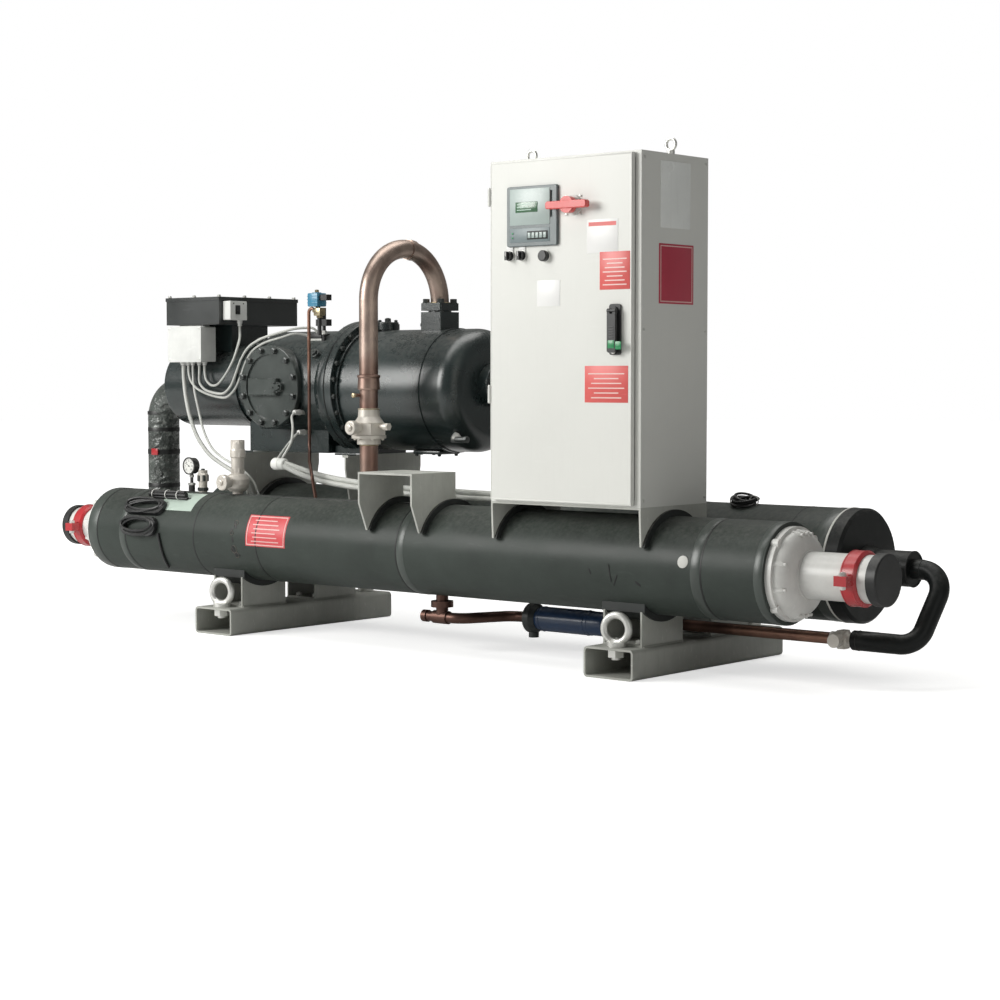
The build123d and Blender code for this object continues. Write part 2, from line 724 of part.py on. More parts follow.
def compressor_body():
    """Casting with a rounded shoulder, the barrel that the side cover closes, ribs and two feet."""
    height = COMPRESSOR_HEIGHT
    left = BODY_SHOULDER_X
    drum = cylinder_x(BODY_RADIUS, left, RING_LEFT, REAR, height)
    drum = fillet(drum.edges().filter_by(GeomType.CIRCLE).sort_by(Axis.X)[0], BODY_SHOULDER)
    neck = cylinder_x(MOTOR_RADIUS, BODY_LEFT, left + BODY_SHOULDER, REAR, MOTOR_HEIGHT)
    lip = cylinder_x(MOTOR_RADIUS + BODY_LIP, BODY_LEFT, BODY_LEFT + 3 * BODY_LIP, REAR, MOTOR_HEIGHT)
    barrel = cylinder_y(COVER_RADIUS - 10, COVER_FACE_Y + COVER_THICKNESS, REAR, COVER_X, COVER_HEIGHT)
    flare_end = RING_LEFT - 60
    flare = turned_x(
        (
            (flare_end, 0),
            (flare_end, BODY_RADIUS),
            (RING_LEFT, RING_RADIUS - 22),
            (RING_LEFT, 0),
        ),
        REAR,
        RING_HEIGHT,
    )
    low, high = MAIN_FOOT
    foot = box_between(
        (low, REAR - FOOT_HALF_WIDTH, FOOT_BOTTOM), (high, REAR + FOOT_HALF_WIDTH, height - 120)
    )
    foot = chamfer(foot.edges().filter_by(Axis.X).group_by(Axis.Z)[-1], 40)
    return drum + neck + lip + barrel + flare + foot


def side_cover():
    """Round bolted cover: a rim, a dished middle, a raised boss with a knob beside it."""
    back = COVER_FACE_Y + COVER_THICKNESS
    face = COVER_FACE_Y
    cover = cylinder_y(COVER_RADIUS, face, back, COVER_X, COVER_HEIGHT)
    cover = chamfer(cover.edges().filter_by(GeomType.CIRCLE).sort_by(Axis.Y)[0], 3)
    cover -= cylinder_y(COVER_INNER_RADIUS, face - 1, face + COVER_DISH, COVER_X, COVER_HEIGHT)
    (left, low), (right, high) = COVER_BOSS
    boss = box_between((left, face - 16, low), (right, face + COVER_DISH + 2, high))
    boss = chamfer(boss.faces().sort_by(Axis.Y)[0].edges(), 5)
    knob = cylinder_y(21, face - 6, face + COVER_DISH + 2, COVER_KNOB_X, (low + high) / 2)
    cap = cylinder_y(13, face - 16, face - 6, COVER_KNOB_X, (low + high) / 2)
    body = cylinder_x(BODY_RADIUS, COVER_X - 300, COVER_X + 300, REAR, COMPRESSOR_HEIGHT)
    return cover + boss + knob + cap - body


def main_flange():
    """Two bolted rings between the body and the separator, bevelled at their outer corners."""
    right = separator_left()
    rings = []
    for left in (RING_LEFT, right - RING_THICKNESS):
        ring = cylinder_x(RING_RADIUS, left, left + RING_THICKNESS, REAR, RING_HEIGHT)
        rings.append(chamfer(ring.edges().filter_by(GeomType.CIRCLE), 2))
    waist = cylinder_x(RING_RADIUS - 12, RING_LEFT + 10, right - 10, REAR, RING_HEIGHT)
    return rings[0] + waist + rings[1]


def separator_left():
    return RING_LEFT + 2 * RING_THICKNESS + RING_GAP


def oil_separator():
    """Tank with a weld ring, a rounded end, a weld seam, an end boss and a capped port on top."""
    left = separator_left()
    height = SEPARATOR_HEIGHT
    tank = cylinder_x(SEPARATOR_RADIUS, left, SEPARATOR_RIGHT, REAR, height)
    edge = tank.edges().filter_by(GeomType.CIRCLE).sort_by(Axis.X)[-1]
    tank = fillet(edge, SEPARATOR_KNUCKLE)
    ring = cylinder_x(SEPARATOR_RADIUS + WELD_RING_RISE, left, left + WELD_RING_WIDTH, REAR, height)
    seam = cylinder_x(SEPARATOR_RADIUS + SEAM_RISE, SEAM_X - SEAM_WIDTH, SEAM_X, REAR, height)
    boss = cylinder_x(BOSS_RADIUS, SEPARATOR_RIGHT - 2, SEPARATOR_RIGHT + BOSS_DEPTH, REAR, height + BOSS_RISE)
    boss = fillet(boss.edges().filter_by(GeomType.CIRCLE).sort_by(Axis.X)[-1], 6)
    port = cylinder_z(PORT_RADIUS - 12, height, PORT_TOP - 22, PORT_X, REAR)
    cap = cylinder_z(PORT_RADIUS, PORT_TOP - 24, PORT_TOP, PORT_X, REAR)
    return tank + ring + seam + boss + port + cap


def separator_foot():
    """Block between the rings, the separator and the right support."""
    low, high = SECOND_FOOT
    block = box_between((low, REAR - 120, FOOT_BOTTOM), (high, REAR + 120, SEPARATOR_HEIGHT - 190))
    block -= cylinder_x(RING_RADIUS, RING_LEFT, separator_left(), REAR, RING_HEIGHT)
    block -= cylinder_x(BODY_RADIUS + 40, low - 1, RING_LEFT, REAR, COMPRESSOR_HEIGHT)
    weld = separator_left() + WELD_RING_WIDTH
    block -= cylinder_x(SEPARATOR_RADIUS + WELD_RING_RISE, separator_left(), weld, REAR, SEPARATOR_HEIGHT)
    return block - cylinder_x(SEPARATOR_RADIUS, weld - 1, high + 1, REAR, SEPARATOR_HEIGHT)


def compressor_support(x):
    """Upright plate over the evaporator with sloping shoulders and a narrow top plate."""
    under = SUPPORT_TOP - SUPPORT_PLATE
    low = SHELL_AXIS_HEIGHT + 74
    front, back = SUPPORT_FRONT, SUPPORT_BACK
    inset = SUPPORT_SHOULDER - 30
    outline = make_face(
        Polyline(
            (front, under),
            (back, under),
            (back, under - SUPPORT_SIDE),
            (back - inset, low),
            (front + inset, low),
            (front, under - SUPPORT_SIDE),
            close=True,
        )
    )
    plate = Pos(x - PLATE / 2, 0, 0) * extrude(Plane.YZ * outline, PLATE)
    arc = EVAPORATOR_RADIUS + BRACKET_ARC_GAP
    plate -= cylinder_x(arc, x - 50, x + 50, REAR, SHELL_AXIS_HEIGHT)
    half = SUPPORT_FLANGE / 2
    return plate + box_between((x - half, front, under), (x + half, back, SUPPORT_TOP))


def bracket_plate(x, top, front, back, shoulder):
    """Plate with a pointed front foot and an edge that follows the condenser."""
    arc = CONDENSER_RADIUS + BRACKET_ARC_GAP
    tip = FRONT - sqrt(arc**2 - (BRACKET_TIP_HEIGHT - SHELL_AXIS_HEIGHT) ** 2)
    low = min(SHELL_TOP - 20, top - 60)
    outline = make_face(
        Polyline(
            (front, top),
            (back, top),
            (back, low),
            (FRONT, low),
            (tip + 60, BRACKET_TIP_HEIGHT),
            (tip - 4, BRACKET_TIP_HEIGHT),
            (front, shoulder),
            close=True,
        )
    )
    plate = Pos(x, 0, 0) * extrude(Plane.YZ * outline, PLATE)
    return plate - cylinder_x(arc, x - 50, x + 50, FRONT, SHELL_AXIS_HEIGHT)


def spare_bracket():
    """Empty bracket over the condenser: top plate and two hollowed side plates."""
    left = SPARE_BRACKET_LEFT
    right = left + SPARE_BRACKET_WIDTH
    under = SPARE_BRACKET_TOP - PLATE
    front = FRONT - SPARE_BRACKET_REACH
    back = FRONT + 19
    plates = bracket_plate(left, under, front, back, BRACKET_SHOULDER_HEIGHT)
    plates += bracket_plate(right - PLATE, under, front, back, BRACKET_SHOULDER_HEIGHT)
    return plates + box_between((left, front, under), (right, back, SPARE_BRACKET_TOP))


def bracket_bands():
    """Foam between the condenser and the hollowed edges of both brackets."""
    outer = CONDENSER_RADIUS + BRACKET_ARC_GAP
    low = BRACKET_TIP_HEIGHT
    spare = SPARE_BRACKET_LEFT + SPARE_BRACKET_WIDTH
    case = CABINET_RIGHT - CABINET_WIDTH
    bands = []
    for x in (SPARE_BRACKET_LEFT + PLATE / 2, spare - PLATE / 2, case + PLATE / 2, CABINET_RIGHT - PLATE / 2):
        band = foam_band(x, BRACKET_BAND_WIDTH, FRONT, CONDENSER_RADIUS, outer, low, low + 300, outer)
        bands.append(band)
    return Compound(bands)


def support_bands():
    """Foam between the evaporator and the two compressor supports."""
    outer = EVAPORATOR_RADIUS + BRACKET_ARC_GAP
    low = SHELL_AXIS_HEIGHT + 78
    bands = [foam_band(x, 60, REAR, EVAPORATOR_RADIUS, outer, low, low + 300, outer) for x in SUPPORT_PLACES]
    return Compound(bands)


def cabinet_bracket():
    """Deck under the cabinet with a hollowed plate at each end."""
    left = CABINET_RIGHT - CABINET_WIDTH
    front = CABINET_BACK - CABINET_DEPTH
    under = CABINET_BOTTOM - PLATE
    deck = box_between((left, front, under), (CABINET_RIGHT, CABINET_BACK, CABINET_BOTTOM))
    plates = bracket_plate(left, under, front, CABINET_BACK, under - 12)
    return deck + plates + bracket_plate(CABINET_RIGHT - PLATE, under, front, CABINET_BACK, under - 12)



def terminal_box():
    """Sheet box on the motor with a lid that laps over its walls."""
    front = TERMINAL_BOX_FRONT
    lap = TERMINAL_LID_LAP
    low = (TERMINAL_BOX_LEFT, front, TERMINAL_BOX_TOP - TERMINAL_BOX_HEIGHT)
    high = (TERMINAL_BOX_LEFT + TERMINAL_BOX_WIDTH, front + TERMINAL_BOX_DEPTH, TERMINAL_BOX_TOP - TERMINAL_LID)
    lid_low = (low[0] - lap, low[1] - lap, high[2])
    lid_high = (high[0] + lap, high[1] + lap, TERMINAL_BOX_TOP)
    return box_between(low, high) + box_between(lid_low, lid_high)


def junction_box():
    """Moulded box with a lid in front and a row of cable glands below."""
    top = TERMINAL_BOX_TOP - TERMINAL_BOX_HEIGHT
    front = TERMINAL_BOX_FRONT - 19
    bottom = top - JUNCTION_HEIGHT
    right = JUNCTION_LEFT + JUNCTION_WIDTH
    lap = JUNCTION_LID_LAP
    case = box_between((JUNCTION_LEFT, front, bottom), (right, front + JUNCTION_DEPTH, top - 8))
    case = fillet(case.edges().filter_by(Axis.Y), 6)
    lid = box_between(
        (JUNCTION_LEFT - lap, front - lap, bottom - lap), (right + lap, front + JUNCTION_LID, top - 8 + lap)
    )
    case += fillet(lid.edges().filter_by(Axis.Y), 7)
    case += box_between((JUNCTION_LEFT + 30, front + 40, top - 10), (right - 30, front + 80, top))
    for x, radius in GLANDS:
        case += cylinder_z(radius + 3, bottom - 8, bottom, x, GLAND_Y)
        case += cylinder_z(radius, GLAND_BOTTOM, bottom - 8, x, GLAND_Y)
    return case


def thermostat_box():
    """Small moulded box on the side of the terminal box, with a gland below."""
    left = TERMINAL_BOX_LEFT + TERMINAL_BOX_WIDTH + TERMINAL_LID_LAP
    front = TERMINAL_BOX_FRONT + 21
    right = left + THERMOSTAT_WIDTH
    case = box_between((left, front, THERMOSTAT_BOTTOM), (right, front + THERMOSTAT_DEPTH, THERMOSTAT_TOP))
    case = fillet(case.edges().filter_by(Axis.X), 5)
    gland_x = (left + right) / 2
    case += cylinder_z(12, THERMOSTAT_BOTTOM - 14, THERMOSTAT_BOTTOM + 1, gland_x, THERMOSTAT_GLAND_Y)
    return case + cylinder_z(9, THERMOSTAT_BOTTOM - 26, THERMOSTAT_BOTTOM - 14, gland_x, THERMOSTAT_GLAND_Y)


def discharge_block():
    """Square pad on the separator, a short neck and the square flange of the discharge pipe."""
    half = DISCHARGE_PAD / 2
    x = DISCHARGE_X
    bottom = SEPARATOR_HEIGHT + SEPARATOR_RADIUS - 60
    pad = box_between((x - half, REAR - half, bottom), (x + half, REAR + half, DISCHARGE_PAD_TOP))
    pad = chamfer(pad.edges().filter_by(Axis.Z), 4)
    neck = cylinder_z(48, DISCHARGE_PAD_TOP, DISCHARGE_FLANGE_BOTTOM, x, REAR)
    flange = box_between(
        (x - half, REAR - half, DISCHARGE_FLANGE_BOTTOM), (x + half, REAR + half, DISCHARGE_FLANGE_TOP)
    )
    flange = fillet(flange.edges().filter_by(Axis.Z), 10)
    plug = cylinder_x(10, x - half - 26, x - half, REAR - 20, DISCHARGE_PAD_TOP - 52)
    tank = cylinder_x(SEPARATOR_RADIUS, x - 200, x + 200, REAR, SEPARATOR_HEIGHT)
    return pad + neck + flange + plug - tank


def discharge_pipe():
    """Copper arch from the flange over to the condenser, with its collars, and the leg below the valve."""
    reach = SHELL_SPACING / 2
    foot = DISCHARGE_FLANGE_TOP
    plane = Plane(origin=(DISCHARGE_X, 0, foot), x_dir=(0, 1, 0), z_dir=(1, 0, 0))
    bend = arc_tube(plane * CenterArc((0, 0), reach, 0, 180), DISCHARGE_RADIUS)
    joint = arc_tube(
        plane * CenterArc((0, 0), reach, ARCH_COLLAR_ANGLE, ARCH_COLLAR_SWEEP), DISCHARGE_RADIUS + 4
    )
    low, high = DISCHARGE_COLLAR
    leg = cylinder_z(DISCHARGE_RADIUS, high, foot, DISCHARGE_X, FRONT)
    collar = turned_z(
        (
            (0, low),
            (DISCHARGE_RADIUS + 5, low),
            (DISCHARGE_RADIUS + 7, low + 6),
            (DISCHARGE_RADIUS + 5, high - 14),
            (DISCHARGE_RADIUS + 9, high - 8),
            (DISCHARGE_RADIUS + 9, high - 2),
            (DISCHARGE_RADIUS, high + 2),
            (0, high + 2),
        ),
        DISCHARGE_X,
        FRONT,
    )
    below = cylinder_z(DISCHARGE_RADIUS - 1, DISCHARGE_VALVE_TOP, low + 1, DISCHARGE_X, FRONT)
    port = cylinder_y(7, FRONT - DISCHARGE_RADIUS - 20, FRONT, DISCHARGE_X - 22, low - 22)
    flare = DISCHARGE_FLARE_TOP
    lower = turned_z(
        (
            (0, SHELL_TOP - 12),
            (DISCHARGE_RADIUS + 9, SHELL_TOP - 12),
            (DISCHARGE_RADIUS + 7, flare - 14),
            (DISCHARGE_RADIUS + 1, flare),
            (DISCHARGE_RADIUS - 1, flare + 12),
            (DISCHARGE_RADIUS - 1, DISCHARGE_VALVE_BOTTOM),
            (0, DISCHARGE_VALVE_BOTTOM),
        ),
        DISCHARGE_X,
        FRONT,
    )
    shell = cylinder_x(CONDENSER_RADIUS, DISCHARGE_X - 100, DISCHARGE_X + 100, FRONT, SHELL_AXIS_HEIGHT)
    return Compound([bend + joint + leg + collar + below + port, lower - shell])


def discharge_valve():
    """Shut-off valve in the copper leg: hexagon body, tapered top, lower flange, cap and service port."""
    low, high = DISCHARGE_VALVE_BOTTOM, DISCHARGE_VALVE_TOP
    neck = DISCHARGE_RADIUS + 4
    wide = 64
    body = turned_z(
        (
            (0, low),
            (neck + 6, low),
            (neck + 6, low + 22),
            (wide + 6, low + 24),
            (wide + 6, low + 36),
            (wide - 3, low + 38),
            (wide - 3, high - 58),
            (neck + 2, high - 34),
            (neck, high),
            (0, high),
        ),
        DISCHARGE_X,
        FRONT,
    )
    hexagon = Rot(0, 0, 20) * RegularPolygon(wide - 2, 6, major_radius=False)
    hexagon = extrude(hexagon, high - low - 98)
    body += Pos(DISCHARGE_X, FRONT, low + 38) * hexagon
    middle = low + 68
    front = FRONT - 112
    body += cylinder_y(20, front + 20, FRONT, DISCHARGE_X, middle)
    cap = cylinder_y(29, front, front + 26, DISCHARGE_X, middle)
    cap = fillet(cap.edges().filter_by(GeomType.CIRCLE).sort_by(Axis.Y)[0], 6)
    body += cap
    body += cylinder_x(9, DISCHARGE_X, DISCHARGE_X + 92, FRONT, middle + 4)
    return body + cylinder_x(14, DISCHARGE_X + 84, DISCHARGE_X + 106, FRONT, middle + 4)


def relief_valve():
    """Safety valve: a three-way body with a capped spindle and the spring housing on top."""
    x = RELIEF_X
    base = SHELL_TOP
    body = turned_z(
        (
            (0, base - 30),
            (22, base - 30),
            (22, base + 8),
            (34, base + 10),
            (46, base + 24),
            (50, base + 40),
            (50, base + 62),
            (40, base + 80),
            (28, base + 86),
            (28, base + 152),
            (33, base + 156),
            (33, base + 184),
            (30, base + 192),
            (30, base + 220),
            (26, base + 226),
            (0, base + 226),
        ),
        x,
        FRONT,
    )
    spindle = base + 50
    front = FRONT - 96
    body += cylinder_y(22, front + 14, FRONT, x, spindle)
    cap = cylinder_y(34, front, front + 24, x, spindle)
    body += fillet(cap.edges().filter_by(GeomType.CIRCLE).sort_by(Axis.Y)[0], 6)
    shell = cylinder_x(CONDENSER_RADIUS, x - 100, x + 100, FRONT, SHELL_AXIS_HEIGHT)
    return body - shell


def pressure_gauge():
    """Dial gauge on a bent stem, facing the front, with a rim round the glass."""
    x, height = GAUGE_X, GAUGE_HEIGHT
    stem = cylinder_z(7, SHELL_TOP - 20, height - 20, x, FRONT)
    socket = cylinder_z(14, SHELL_TOP - 20, SHELL_TOP + 26, x, FRONT)
    case = cylinder_y(35, FRONT - 15, FRONT + 15, x, height)
    rim = cylinder_y(38, FRONT - 19, FRONT - 11, x, height) - cylinder_y(33, FRONT - 20, FRONT - 16, x, height)
    shell = cylinder_x(CONDENSER_RADIUS, x - 100, x + 100, FRONT, SHELL_AXIS_HEIGHT)
    return stem + socket + case + rim - shell


def service_fitting():
    """Angle fitting with a turned cap, on the condenser."""
    x = SERVICE_X
    base = SHELL_TOP
    body = turned_z(
        (
            (0, base - 20),
            (19, base - 20),
            (19, base + 44),
            (24, base + 46),
            (24, base + 76),
            (20, base + 80),
            (20, base + 94),
            (0, base + 94),
        ),
        x,
        FRONT,
    )
    return body - cylinder_x(CONDENSER_RADIUS, x - 100, x + 100, FRONT, SHELL_AXIS_HEIGHT)


def oil_line():
    """Thin copper pipe from under the solenoid valve down to the condenser."""
    x, y = OIL_LINE_X, OIL_LINE_Y
    points = (
        (x + 46, y, 1350),
        (x, y, 1372),
        (x, y, 775),
        (x + 60, y - 60, 725),
        (x + 130, FRONT, SHELL_TOP + 86),
        (x + 152, FRONT, SHELL_TOP - 10),
    )
    pipe = pipe_along(points, (18, 60, 50, 30), OIL_LINE_RADIUS) - solenoid_body()
    return pipe - cylinder_x(CONDENSER_RADIUS, x - 200, x + 400, FRONT, SHELL_AXIS_HEIGHT)


def solenoid_body():
    x, y = OIL_LINE_X + 46, OIL_LINE_Y
    return box_between((x, y - 16, 1332), (x + 34, y + 16, 1362))


def solenoid_valve():
    """Valve with a square coil and a plug on top, its stem down to the casting, and a pressure sensor."""
    x, y = OIL_LINE_X + 46, OIL_LINE_Y
    body = solenoid_body() + cylinder_z(10, 1360, 1372, x + 8, y)
    coil = box_between((x - 26, y - 26, 1370), (x + 30, y + 26, 1424))
    coil = fillet(coil.edges().filter_by(Axis.Z), 5)
    plug = box_between((x + 28, y - 16, 1394), (x + 74, y + 14, 1418))
    stem = cylinder_z(9, 1250, 1334, x + 17, y)
    stem -= cylinder_x(RING_RADIUS, RING_LEFT, separator_left(), REAR, RING_HEIGHT)
    return Compound([body + coil + plug + stem, pressure_sensor()])


def signal_leads():
    """Sheathed leads from the glands to the thermostat, the casting, the sensors and the condenser."""
    block_left, block_low = LEAD_BLOCK[0][0], LEAD_BLOCK[0][2]
    glands = [(x, GLAND_Y, GLAND_BOTTOM) for x, _ in GLANDS]
    shell = cylinder_x(CONDENSER_RADIUS, -1300, -900, FRONT, SHELL_AXIS_HEIGHT)
    to_relief = (
        glands[0],
        (glands[0][0], GLAND_Y, 1088),
        (-1677, -5, 1010),
        (-1638, -20, 919),
        (-1544, -60, 814),
        (-1405, -110, 734),
        (-1273, -148, 695),
        (-1177, -150, 658),
        (-1120, -140, 610),
        (-1098, -135, 552),
    )
    beside_relief = (
        glands[2],
        (glands[2][0], GLAND_Y, 1092),
        (-1622, 0, 1020),
        (-1574, -20, 938),
        (-1498, -60, 841),
        (-1391, -110, 765),
        (-1273, -150, 724),
        (-1166, -160, 692),
        (-1092, -142, 640),
        (-1060, -130, 550),
    )
    to_casting = (
        glands[1],
        (glands[1][0], GLAND_Y, 1096),
        (-1648, 4, 1055),
        (-1602, 0, 1022),
        (-1531, -5, 1000),
        (-1460, -10, 987),
        (-1391, -14, 983),
        (-1341, -12, 1019),
        (-1304, -10, 1080),
        (-1278, -8, 1141),
        (-1235, -4, 1194),
        (-1160, 2, 1228),
        (-1083, 15, 1244),
        (-1025, 40, 1264),
        (-994, 74, 1258),
        (block_left, 90, 1250),
    )
    to_block_top = (
        glands[3],
        (glands[3][0], GLAND_Y, 1094),
        (-1580, -8, 1050),
        (-1531, -19, 1018),
        (-1462, -25, 1004),
        (-1394, -29, 1000),
        (-1350, -27, 1034),
        (-1319, -25, 1092),
        (-1293, -23, 1150),
        (-1247, -20, 1208),
        (-1170, -13, 1244),
        (-1088, 2, 1264),
        (-1012, 42, 1286),
        (-952, 90, 1288),
        (-934, 104, LEAD_BLOCK[1][2]),
    )
    to_thermostat = (
        glands[4],
        (glands[4][0], GLAND_Y, 1098),
        (-1545, 2, 1062),
        (-1505, -4, 1036),
        (-1457, -8, 1040),
        (-1405, -8, 1084),
        (-1366, 4, 1150),
        (-1362, 26, 1210),
        (-1382, 58, 1250),
        (THERMOSTAT_X, THERMOSTAT_GLAND_Y, 1276),
        (THERMOSTAT_X, THERMOSTAT_GLAND_Y, THERMOSTAT_BOTTOM - 26),
    )
    upper, lower = SENSOR_PLACES
    head_x, head_z = CONDUIT_HEAD
    from_upper = (
        upper,
        (upper[0] + 4, upper[1] - 22, upper[2] - 16),
        (-896, -92, 862),
        (-872, -124, 802),
        (-862, -166, 762),
        (head_x, -196, head_z + 24),
    )
    from_lower = (
        lower,
        (lower[0] - 2, lower[1] - 20, lower[2] - 14),
        (-972, -56, 782),
        (-956, -112, 742),
        (-920, -168, 722),
        (head_x - 32, -206, head_z),
    )
    block = box_between(*LEAD_BLOCK) - cylinder_x(BODY_RADIUS, -1100, -800, REAR, COMPRESSOR_HEIGHT)
    pieces = [
        lead(to_relief, THICK_LEAD_RADIUS) - shell,
        lead(beside_relief, THIN_LEAD_RADIUS) - shell,
        lead(to_casting, THIN_LEAD_RADIUS),
        lead(to_block_top, THIN_LEAD_RADIUS),
        lead(to_thermostat, THIN_LEAD_RADIUS),
        lead(from_upper, THIN_LEAD_RADIUS) - conduit_head(),
        lead(from_lower, THIN_LEAD_RADIUS) - conduit_head(),
        block,
    ]
    body = cylinder_x(BODY_RADIUS, -1100, -800, REAR, COMPRESSOR_HEIGHT)
    for x, y, z in SENSOR_PLACES:
        pieces.append(cylinder_y(SENSOR_RADIUS, y, y + SENSOR_DEPTH, x, z) - body)
    return Compound(pieces)


def conduit_head():
    """Sleeve over the condenser that gathers the leads."""
    x, z = CONDUIT_HEAD
    head = cylinder_x(24, x - 32, x + 36, FRONT + 5, z)
    return fillet(head.edges().filter_by(GeomType.CIRCLE), 10)


def conduit_bundle():
    """Three corrugated conduits from the gathering sleeve to the cabinet's bracket."""
    x, z = CONDUIT_HEAD
    end = CABINET_RIGHT - CABINET_WIDTH - 1
    route = (
        (x + 30, FRONT + 5, z - 6),
        (-760, -192, 672),
        (-690, -158, 648),
        (-569, -154, 632),
        (-450, -148, 622),
        (-320, -140, 612),
        (-160, -136, 606),
        (20, -140, 604),
        (180, -134, 600),
        (330, -136, 602),
        (end, -130, 598),
    )
    tubes = []
    for along, across in ((0, 0), (23, 2), (11, 21)):
        start = (route[0][0], route[0][1] + along / 2 - 8, route[0][2] + across / 2)
        points = [start] + [(px, py + along, pz + across) for px, py, pz in route[1:]]
        tubes.append(lead(points, CONDUIT_RADIUS - 2))
    whole = conduit_head()
    for tube in tubes:
        whole += tube
    return whole


def hank_plane(x, angle, rise):
    """Plane that lies on the front of the condenser at an angle above the level."""
    turn = radians(angle)
    reach = CONDENSER_RADIUS + rise
    origin = (x, FRONT - reach * cos(turn), SHELL_AXIS_HEIGHT + reach * sin(turn))
    return Plane(origin=origin, x_dir=(1, 0, 0), z_dir=(0, -cos(turn), sin(turn)))


def cable_hank():
    """Spare cable tied in flat loops against the condenser, with its tied bundle and tail."""
    loops = []
    for x, angle, length, height in HANK_LOOPS:
        ring = SlotOverall(length, height) - SlotOverall(length - 2 * HANK_THICKNESS, height - 2 * HANK_THICKNESS)
        loops.append(extrude(hank_plane(x, angle, SEAT_GAP) * ring, HANK_THICKNESS))
    bundle = hank_plane(-1445, 60, 14) * Rot(0, 90, 0) * Cylinder(13, 230)
    reach = CONDENSER_RADIUS + 7
    tail_points = []
    for x, angle in ((-1412, 2), (-1404, -14), (-1410, -34), (-1424, -52)):
        turn = radians(angle)
        tail_points.append((x, FRONT - reach * cos(turn), SHELL_AXIS_HEIGHT + reach * sin(turn)))
    tail = lead(tail_points, THIN_LEAD_RADIUS)
    shell = cylinder_x(CONDENSER_RADIUS, -1700, -1200, FRONT, SHELL_AXIS_HEIGHT)
    return Compound([loops[0], loops[1] + tail, bundle]) - shell


def pressure_sensor():
    """Sensor with a plug, standing on the casting beside the rings."""
    x, y = -880, 80
    stem = cylinder_z(8, 1200, 1296, x, y)
    plug = box_between((x - 34, y - 16, 1294), (x + 30, y + 16, 1322))
    raised = box_between((x - 26, y - 15, 1320), (x - 2, y + 15, 1372))
    return stem + plug + raised - cylinder_x(BODY_RADIUS, -1000, -800, REAR, COMPRESSOR_HEIGHT)


def cabinet_body():
    """Folded steel case, open at the front behind the door, with a turned-in rim."""
    left = CABINET_RIGHT - CABINET_WIDTH
    front = CABINET_BACK - CABINET_DEPTH
    top = CABINET_BOTTOM + CABINET_HEIGHT
    case = box_between((left, front, CABINET_BOTTOM), (CABINET_RIGHT, CABINET_BACK, top))
    case = fillet(case.edges().filter_by(Axis.Z), CABINET_SHEET)
    sheet = CABINET_SHEET
    case -= box_between(
        (left + sheet, front + sheet, CABINET_BOTTOM + sheet),
        (CABINET_RIGHT - sheet, CABINET_BACK - sheet, top - sheet),
    )
    rim = CABINET_RIM
    return case - box_between(
        (left + rim, front - 1, CABINET_BOTTOM + rim), (CABINET_RIGHT - rim, front + 10, top - rim)
    )


def door_front():
    return CABINET_BACK - CABINET_DEPTH - DOOR_GAP - DOOR_THICKNESS


def cabinet_door():
    """Pan-shaped sheet door, its edges folded back towards the case, with a knuckle at each hinge."""
    left = CABINET_RIGHT - CABINET_WIDTH + DOOR_HINGE_MARGIN
    right = CABINET_RIGHT - DOOR_FREE_MARGIN
    bottom = CABINET_BOTTOM + DOOR_SIDE_GAP
    top = CABINET_BOTTOM + CABINET_HEIGHT - DOOR_SIDE_GAP
    back = CABINET_BACK - CABINET_DEPTH - DOOR_GAP
    pan = box_between((left, door_front(), bottom), (right, back, top))
    pan = fillet(pan.edges().filter_by(Axis.Z), DOOR_SHEET - 0.5)
    pan -= box_between(
        (left + DOOR_SHEET, door_front() + DOOR_SHEET, bottom + DOOR_SHEET),
        (right - DOOR_SHEET, back + 1, top - DOOR_SHEET),
    )
    for height in KNUCKLE_PLACES:
        low, high = height - KNUCKLE_HEIGHT / 2, height + KNUCKLE_HEIGHT / 2
        pan += cylinder_z(KNUCKLE_RADIUS, low, high, KNUCKLE_X, door_front())
    return pan


def controller_panel():
    """Framed controller with a recessed display field."""
    front = door_front()
    (left, low), (right, high) = PANEL_LOW, PANEL_HIGH
    frame = box_between((left, front - PANEL_THICKNESS, low), (right, front, high))
    frame = fillet(frame.edges().filter_by(Axis.Y), 8)
    frame = chamfer(frame.faces().sort_by(Axis.Y)[0].edges(), 2)
    window_top = high - PANEL_MARGIN
    window = box_between(
        (left + PANEL_MARGIN, front - PANEL_THICKNESS - 1, window_top - PANEL_WINDOW_HEIGHT),
        (right - PANEL_MARGIN, front - PANEL_RECESS, window_top),
    )
    return frame - window


def main_switch_base():
    front = door_front()
    middle = front - PLATE
    plate = cylinder_y(SWITCH_PLATE_RADIUS, middle, front, SWITCH_X, SWITCH_Z)
    return plate + cylinder_y(SWITCH_NECK_RADIUS, front - SWITCH_NECK, middle, SWITCH_X, SWITCH_Z)


def main_switch_handle():
    """Turning grip with rounded ends on a round hub."""
    front = door_front() - SWITCH_NECK - SEAT_GAP
    reach, half = SWITCH_GRIP_HALF, SWITCH_GRIP_WIDTH / 2
    grip = box_between(
        (SWITCH_X - reach, front - 30, SWITCH_Z - half), (SWITCH_X + reach, front - 8, SWITCH_Z + half)
    )
    grip = fillet(grip.edges().filter_by(Axis.Y), half - 4)
    grip = fillet(grip.faces().sort_by(Axis.Y)[0].edges(), 3)
    return grip + cylinder_y(SWITCH_HUB_RADIUS, front - 26, front, SWITCH_X, SWITCH_Z)


